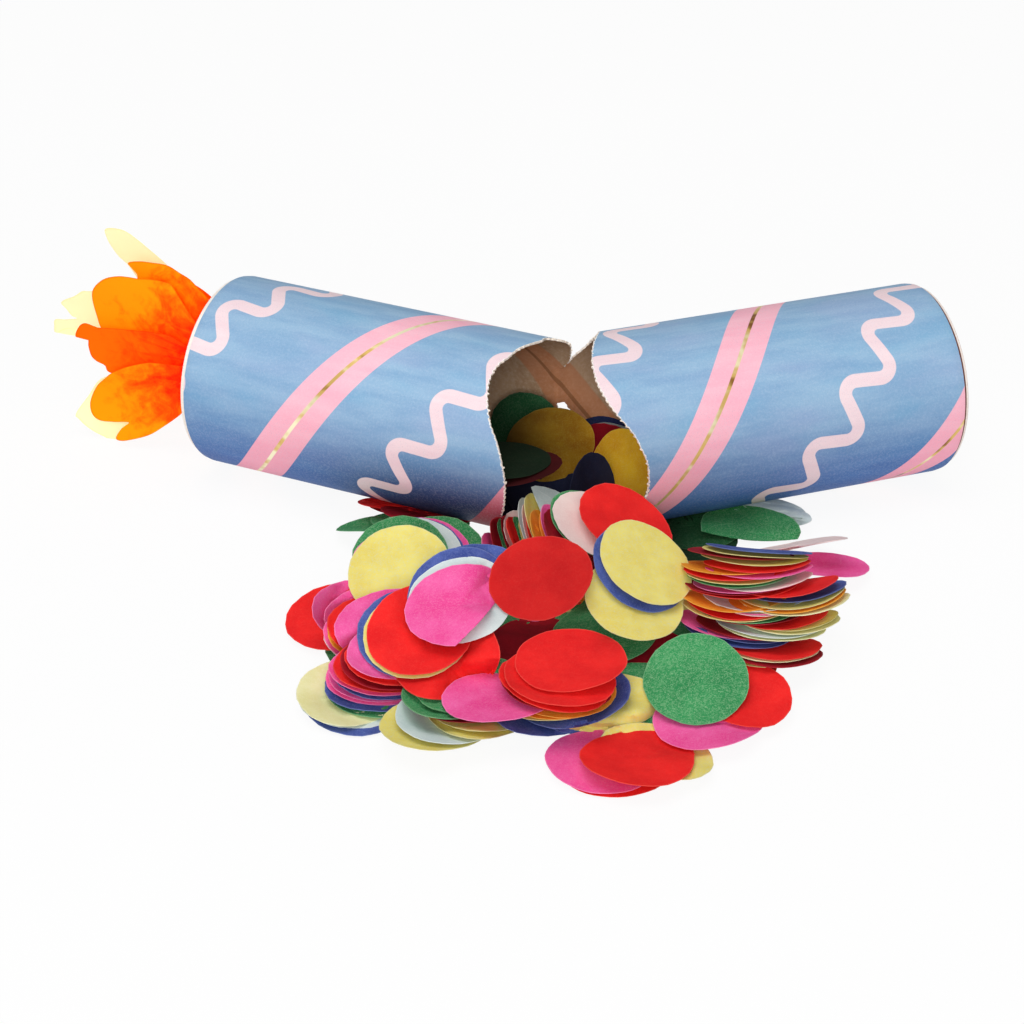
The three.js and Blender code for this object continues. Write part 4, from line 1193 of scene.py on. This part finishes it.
def heap():
    """The spilled confetti, from what lies behind and below to what lies in front and on top"""
    # Green discs under the base half, made dark with painted shade where the gap under the tube is in shadow
    loose("dark_gap", [
        ("green", 688, 539, 0.49, 0, {"dusk": (1.0, 0.9), "flutter": 0.05, "curl": 0.1}),
        ("green", 695, 525, 0.49, 0, {"dusk": (1.0, 0.5), "flutter": 0.05, "curl": 0.1})],
        height=1.2, zone="under")
    lay("green_under_tube", [
        ("pale_blue", 756, 507, 0.2, -6), ("pale_blue", 762, 513, 0.22, -8),
        ("green", 750, 531, 0.52, -6, {"curl": 1.6, "bend": 0, "fold": (-88, 0.3)})], zone="under")
    loose("leaves_left", [
        ("green", 386, 526, 0.16, 3, {"curl": 1.0}), ("green", 420, 522, 0.2, -2),
        ("crimson", 417, 511, 0.14, -7), ("red", 407, 507, 0.15, -6), ("crimson", 430, 515, 0.14, -5)],
        height=4.0, zone="under")
    lay("magenta_far_right", [
        ("pale_pink", 797, 546, 0.07, 10), ("magenta", 818, 566, 0.24, -2, {"curl": 0.8})], zone="under")

    bed()
    low, high = right_stack()
    lay("stack_right_low", low)
    lay("stack_right", high)
    lay("stack_back_left", [
        ("green", 436, 557, 0.8, 0), ("magenta", 421, 558, 0.8, 0), ("navy", 415, 558, 0.8, 0),
        ("pale_blue", 413, 559, 0.8, 0), ("green", 400, 555, 0.8, 6, {"size": 0.94}),
        ("magenta", 401, 570, 0.8, 0)])
    lay("red_far_left", [
        ("yellow", 352, 626, 0.5, 0), ("red", 338, 619, 0.63, 5, {"curl": 1.2})])
    lay("stack_left", [
        ("magenta", 366, 616, 0.62, -15), ("crimson", 384, 620, 0.6, 10), ("red", 385, 612, 0.66, 14),
        ("orange", 389, 613, 0.6, 10), ("magenta", 379, 616, 0.6, 5), ("yellow", 380, 634, 0.56, 0),
        ("pale_pink", 379, 636, 0.56, 0), ("magenta", 378, 636, 0.55, -4), ("orange", 382, 634, 0.58, -6),
        ("red", 382, 628, 0.6, -6)])
    lay("yellow_left", [("yellow", 400, 573, 0.9, 15, {"curl": 1.0, "size": 0.98})])
    lay("magenta_left", [("magenta", 387, 623, 0.62, 15, {"curl": 1.0, "size": 0.97})])
    lay("navy_front_left", [("navy", 360, 704, 0.54, 4, {"curl": 1.2, "bend": 0})])
    lay("cream_front_left", [
        ("pale_blue", 354, 697, 0.56, 2), ("cream", 352, 691, 0.62, 5, {"curl": 0.7})])
    lay("stack_front_left", [
        ("green", 384, 690, 0.5, 4), ("navy", 380, 684, 0.52, 2), ("magenta", 381, 678, 0.5, 0),
        ("magenta", 384, 675, 0.5, 0), ("navy", 387, 671, 0.5, 0), ("magenta", 384, 668, 0.5, 0),
        ("red", 389, 665, 0.5, 0), ("crimson", 396, 660, 0.52, 2), ("red", 400, 656, 0.52, 2),
        ("magenta", 402, 650, 0.54, 4)])
    loose("dark_middle", [
        ("green", 540, 632, 0.5, 0), ("crimson", 560, 640, 0.5, 0), ("green", 600, 628, 0.56, 8),
        ("crimson", 640, 655, 0.5, 0), ("green", 500, 644, 0.5, 20), ("crimson", 536, 650, 0.6, 6),
        ("green", 640, 690, 0.5, 0), ("green", 604, 634, 0.6, 8)], height=6.0)
    lay("stack_front", [
        ("yellow", 436, 724, 0.5, 2, {"curl": 1.2}), ("pale_blue", 452, 715, 0.5, 0),
        ("yellow", 482, 708, 0.52, 0), ("yellow", 490, 704, 0.5, 4), ("crimson", 470, 694, 0.5, 4),
        ("green", 458, 690, 0.5, 5), ("green", 470, 684, 0.52, 4)])
    lay("red_low_left", [("red", 446, 657, 0.8, 12, {"curl": 1.0, "size": 0.97})])
    lay("red_left", [
        ("navy", 412, 631, 0.8, 14), ("yellow", 418, 633, 0.8, 14),
        ("red", 420, 631, 0.82, 14, {"curl": 1.1, "size": 0.98})])
    lay("fan_left", [
        ("magenta", 512, 577, 0.34, -58), ("crimson", 521, 562, 0.34, -58), ("green", 523, 565, 0.22, -62),
        ("crimson", 530, 560, 0.3, -60), ("pale_pink", 538, 555, 0.4, -57), ("red", 535, 562, 0.25, -60),
        ("green", 539, 562, 0.2, -62), ("yellow", 545, 566, 0.24, -62)], height=9.0, pitch=0.5)
    lay("fan_right", [
        ("pale_blue", 545, 544, 0.34, -63), ("pale_pink", 549, 548, 0.3, -62), ("red", 554, 559, 0.3, -60),
        ("yellow", 551, 540, 0.3, -63), ("orange", 558, 556, 0.26, -61),
        ("pale_blue", 557, 531, 0.6, -54, {"curl": 0.8, "fold": (-111, 0.22)}),
        ("orange", 568, 556, 0.28, -60), ("magenta", 570, 550, 0.3, -60), ("crimson", 577, 553, 0.34, -56)],
        height=13.0, pitch=0.5)
    lay("navy_middle_left", [
        ("navy", 480, 577, 0.6, 0, {"size": 0.97}), ("navy", 459, 594, 0.86, 24, {"size": 0.97}),
        ("pale_blue", 460, 600, 0.8, 14, {"size": 0.97})])
    lay("magenta_middle_left", [
        ("magenta", 457, 605, 0.74, 18, {"curl": 0.7, "size": 0.97, "fold": (-52.5, 0.615)})])
    lay("pink_mouth", [
        ("green", 596, 525, 0.57, -29, {"size": 0.97}), ("pale_pink", 598, 526, 0.56, -29, {"size": 0.95})])
    lay("red_mouth", [("red", 626, 522, 0.6, -32, {"size": 0.98})])
    lay("stack_front_middle", [
        ("navy", 668, 714, 0.46, -6), ("navy", 548, 710, 0.46, 0), ("navy", 590, 706, 0.5, 0),
        ("green", 644, 706, 0.5, 0), ("yellow", 606, 703, 0.52, 6), ("navy", 575, 696, 0.56, 12),
        ("yellow", 558, 690, 0.55, 8), ("orange", 554, 692, 0.5, -2), ("orange", 560, 689, 0.5, -4)])
    lay("magenta_front", [("magenta", 498, 698, 0.43, 2, {"curl": 0.8})])
    lay("red_low_middle", [
        ("crimson", 556, 683, 0.5, -10), ("red", 554, 682, 0.5, -12), ("red", 560, 677, 0.52, -8)])
    lay("magenta_low_front", [
        ("red", 612, 768, 0.5, -4), ("magenta", 602, 761, 0.55, -4)])
    lay("red_front", [
        ("yellow", 657, 751, 0.44, -14), ("red", 637, 758, 0.48, -2, {"curl": 1.2})])
    lay("magenta_front_right", [("magenta", 709, 721, 0.5, 2, {"curl": 1.0})])
    lay("red_right", [("red", 738, 693, 0.6, -12, {"curl": 1.2, "size": 0.98})])
    lay("red_middle", [("red", 571, 661, 0.56, 2, {"curl": 1.0})])
    lay("yellow_low_right", [("yellow", 634, 600, 0.76, -24, {"size": 0.94})])
    lay("yellow_right", [
        ("navy", 639, 569, 0.7, -40, {"size": 0.96}), ("yellow", 646, 563, 0.68, -40, {"size": 0.96})])
    # red_centre is darkened with painted shade
    lay("red_centre", [
        ("red", 541, 578, 0.78, 16, {"curl": 0.9, "size": 0.97, "dusk": (0.3, 0.36)})])
    lay("green_front_right", [("green", 696, 680, 0.86, 0, {"curl": 0.8, "size": 0.95})])


def inside_tubes():
    """Discs that stayed in the tubes, seen through the mouth, from the far ones to the near ones"""
    # Discs in the tubes lie in painted shade, given at their left and right
    def lying(dusk_left, dusk_right, size=0.93, **more):
        return dict({"stiff": True, "curl": 0.25, "flutter": 0.1, "size": size,
                     "dusk": (dusk_left, dusk_right)}, **more)

    loose("slivers_base", [
        ("navy", 614, 446, 0.66, -24, lying(0.9, 0.6, 0.86)),
        ("pale_blue", 618, 452, 0.64, -28, lying(0.6, 0.3, 0.84))],
        height=20.0, zone="inside")
    loose("crimson_base", [("crimson", 611, 456, 0.74, -30, lying(0.3, 0.0, 0.84, under=True))],
        height=18.0, zone="inside")
    lay("stack_flame", [
        ("navy", 522, 502, 0.5, -6, lying(1.0, 1.0, 1.0)),
        ("navy", 555, 497, 0.62, -6, lying(1.0, 0.9, 1.0))],
        "flame_half", height=12.0, zone="inside")
    lay("green_flame", [
        ("green", 529, 434, 0.84, -56, lying(0.9, 0.6, 0.9, under=True)),
        ("amber", 550, 445, 0.8, 14, lying(1.0, 0.25, under=True)),
        ("crimson", 517, 469, 0.34, 10, lying(1.0, 0.9, 0.9)),
        ("green", 503, 460, 0.38, 0, lying(1.0, 1.0, 0.95))],
        "flame_half", height=26.0, pitch=0.0, zone="inside")
    lay("yellow_base", [
        ("crimson", 634, 492, 0.6, -64, lying(0.5, 0.2)), ("gold", 619, 474, 0.66, 84, lying(0.2, 0.0))],
        height=28.0, pitch=0.0, zone="inside")
    lay("navy_base", [("navy", 591.5, 498, 0.5, 86, lying(1.0, 0.8, 0.92, under=True))],
        height=17.0, zone="inside")


# Stage


def stage():
    look = Look("floor_paper")
    at = look.place()
    path = look.add("LightPath")
    seen = look.maths("MAXIMUM", path.outputs["Is Camera Ray"], path.outputs["Is Glossy Ray"])
    seen = look.maths("MAXIMUM", seen, path.outputs["Is Transmission Ray"])
    tone = look.mix(look.between(look.noise(at, 9, 3, 0.5), 0.3, 0.7), (0.9, 0.9, 0.9, 1),
                    (0.93, 0.93, 0.93, 1))
    skin = look.add("BsdfDiffuse", Color=look.mix(seen, (0.85, 0.85, 0.85, 1), tone))
    glow = look.add("Emission", Color=(1, 1, 1, 1), Strength=1.0)
    paper = look.end(look.mixed(look.times(seen, 0.92), skin.outputs[0], glow.outputs[0]))
    span = 3000.0
    floor = place_mesh("floor", [(-span, -span, 0), (span, -span, 0), (span, span, 0), (-span, span, 0)],
                       [(0, 1, 2, 3)], [paper])

    world = bpy.data.worlds.new("studio")
    bpy.context.scene.world = world
    world.use_nodes = True
    tree = world.node_tree
    tree.nodes.clear()
    seen = tree.nodes.new("ShaderNodeLightPath")
    pick = tree.nodes.new("ShaderNodeMixShader")
    end = tree.nodes.new("ShaderNodeOutputWorld")
    tree.links.new(seen.outputs["Is Camera Ray"], pick.inputs["Fac"])
    # The sky as it lights the part, then as the camera sees it
    for socket, strength in ((1, 0.3), (2, 1.0)):
        sky = tree.nodes.new("ShaderNodeBackground")
        sky.inputs["Color"].default_value = (1, 1, 1, 1)
        sky.inputs["Strength"].default_value = strength
        tree.links.new(sky.outputs[0], pick.inputs[socket])
    tree.links.new(pick.outputs[0], end.inputs["Surface"])

    for name, place, size, power in (("lamp_top", (-0.15, -0.2, 1.3), 1.0, 8.5),
                                     ("lamp_front", (-0.1, -1.25, 0.62), 0.8, 10.8)):
        data = bpy.data.lights.new(name, "AREA")
        data.shape = "SQUARE"
        data.size = size
        data.energy = power
        lamp = bpy.data.objects.new(name, data)
        lamp.location = place
        aim = Vector((0, 0, 0.02)) - lamp.location
        lamp.rotation_euler = aim.to_track_quat("-Z", "Y").to_euler()
        bpy.context.scene.collection.objects.link(lamp)


# Build

camera()
stage()
bpy.context.scene.view_settings.view_transform = "Standard"

PRINT = {body: printed_card(body) for body in SWING}
INNER = {body: inner_card(body) for body in SWING}
EDGE = raw_card("card_edge", srgb(236, 222, 206), srgb(250, 243, 232), srgb(206, 180, 156))
CAP = raw_card("cap_card", srgb(244, 234, 224), srgb(250, 244, 236), srgb(226, 204, 188))
# The base end's cap, with a painted shadow line down its rolled edge and skirt, against the tube's rim
CAP_SHADOWED = raw_card("cap_card_painted_shadow", srgb(236, 222, 214), srgb(246, 236, 228), srgb(206, 176, 158),
                       (-0.6, -0.9))
SNAP = raw_card("snap_card", srgb(176, 166, 150), srgb(198, 190, 176), srgb(120, 108, 92))
BAND = raw_card("snap_paper", srgb(236, 230, 220), srgb(250, 246, 240), srgb(200, 186, 166))
# The petals' last values are glow, painted light that brightens them
FLAME_ORANGE = flame_tissue("flame_orange", srgb(254, 34, 0), srgb(255, 98, 0), srgb(255, 170, 4),
                            srgb(236, 92, 4), 0.25, 0.2)
FLAME_DEEP = flame_tissue("flame_deep", srgb(252, 26, 0), srgb(255, 84, 0), srgb(255, 122, 0),
                          srgb(230, 70, 0), 0.75, 0.16)
FLAME_YELLOW = flame_tissue("flame_yellow", srgb(255, 236, 84), srgb(255, 242, 150), srgb(252, 246, 206),
                            srgb(246, 236, 170), 0.2, 0.27)
FLAME_KNOT = flame_tissue("flame_knot", srgb(236, 50, 6), srgb(250, 96, 4), srgb(254, 130, 10),
                          srgb(220, 40, 2))
TISSUE = {name: tissue(name) for name in TISSUES}

for half in SWING:
    sleeve(half)
    torn_nubs(half)
fold_strip()
end_cap("flame_half", FLAME_FACE, -1, 6.0, CAP)
end_cap("base_half", BASE_LENGTH + 1.5, 1, 0.0, CAP_SHADOWED)
knot()
flame()
inside_tubes()
heap()
settle()
for node, material in (("snap_strip_flame", SNAP), ("snap_strip_base", SNAP), ("snap_band", BAND)):
    frame["nodes"][node].material_slots[0].material = material
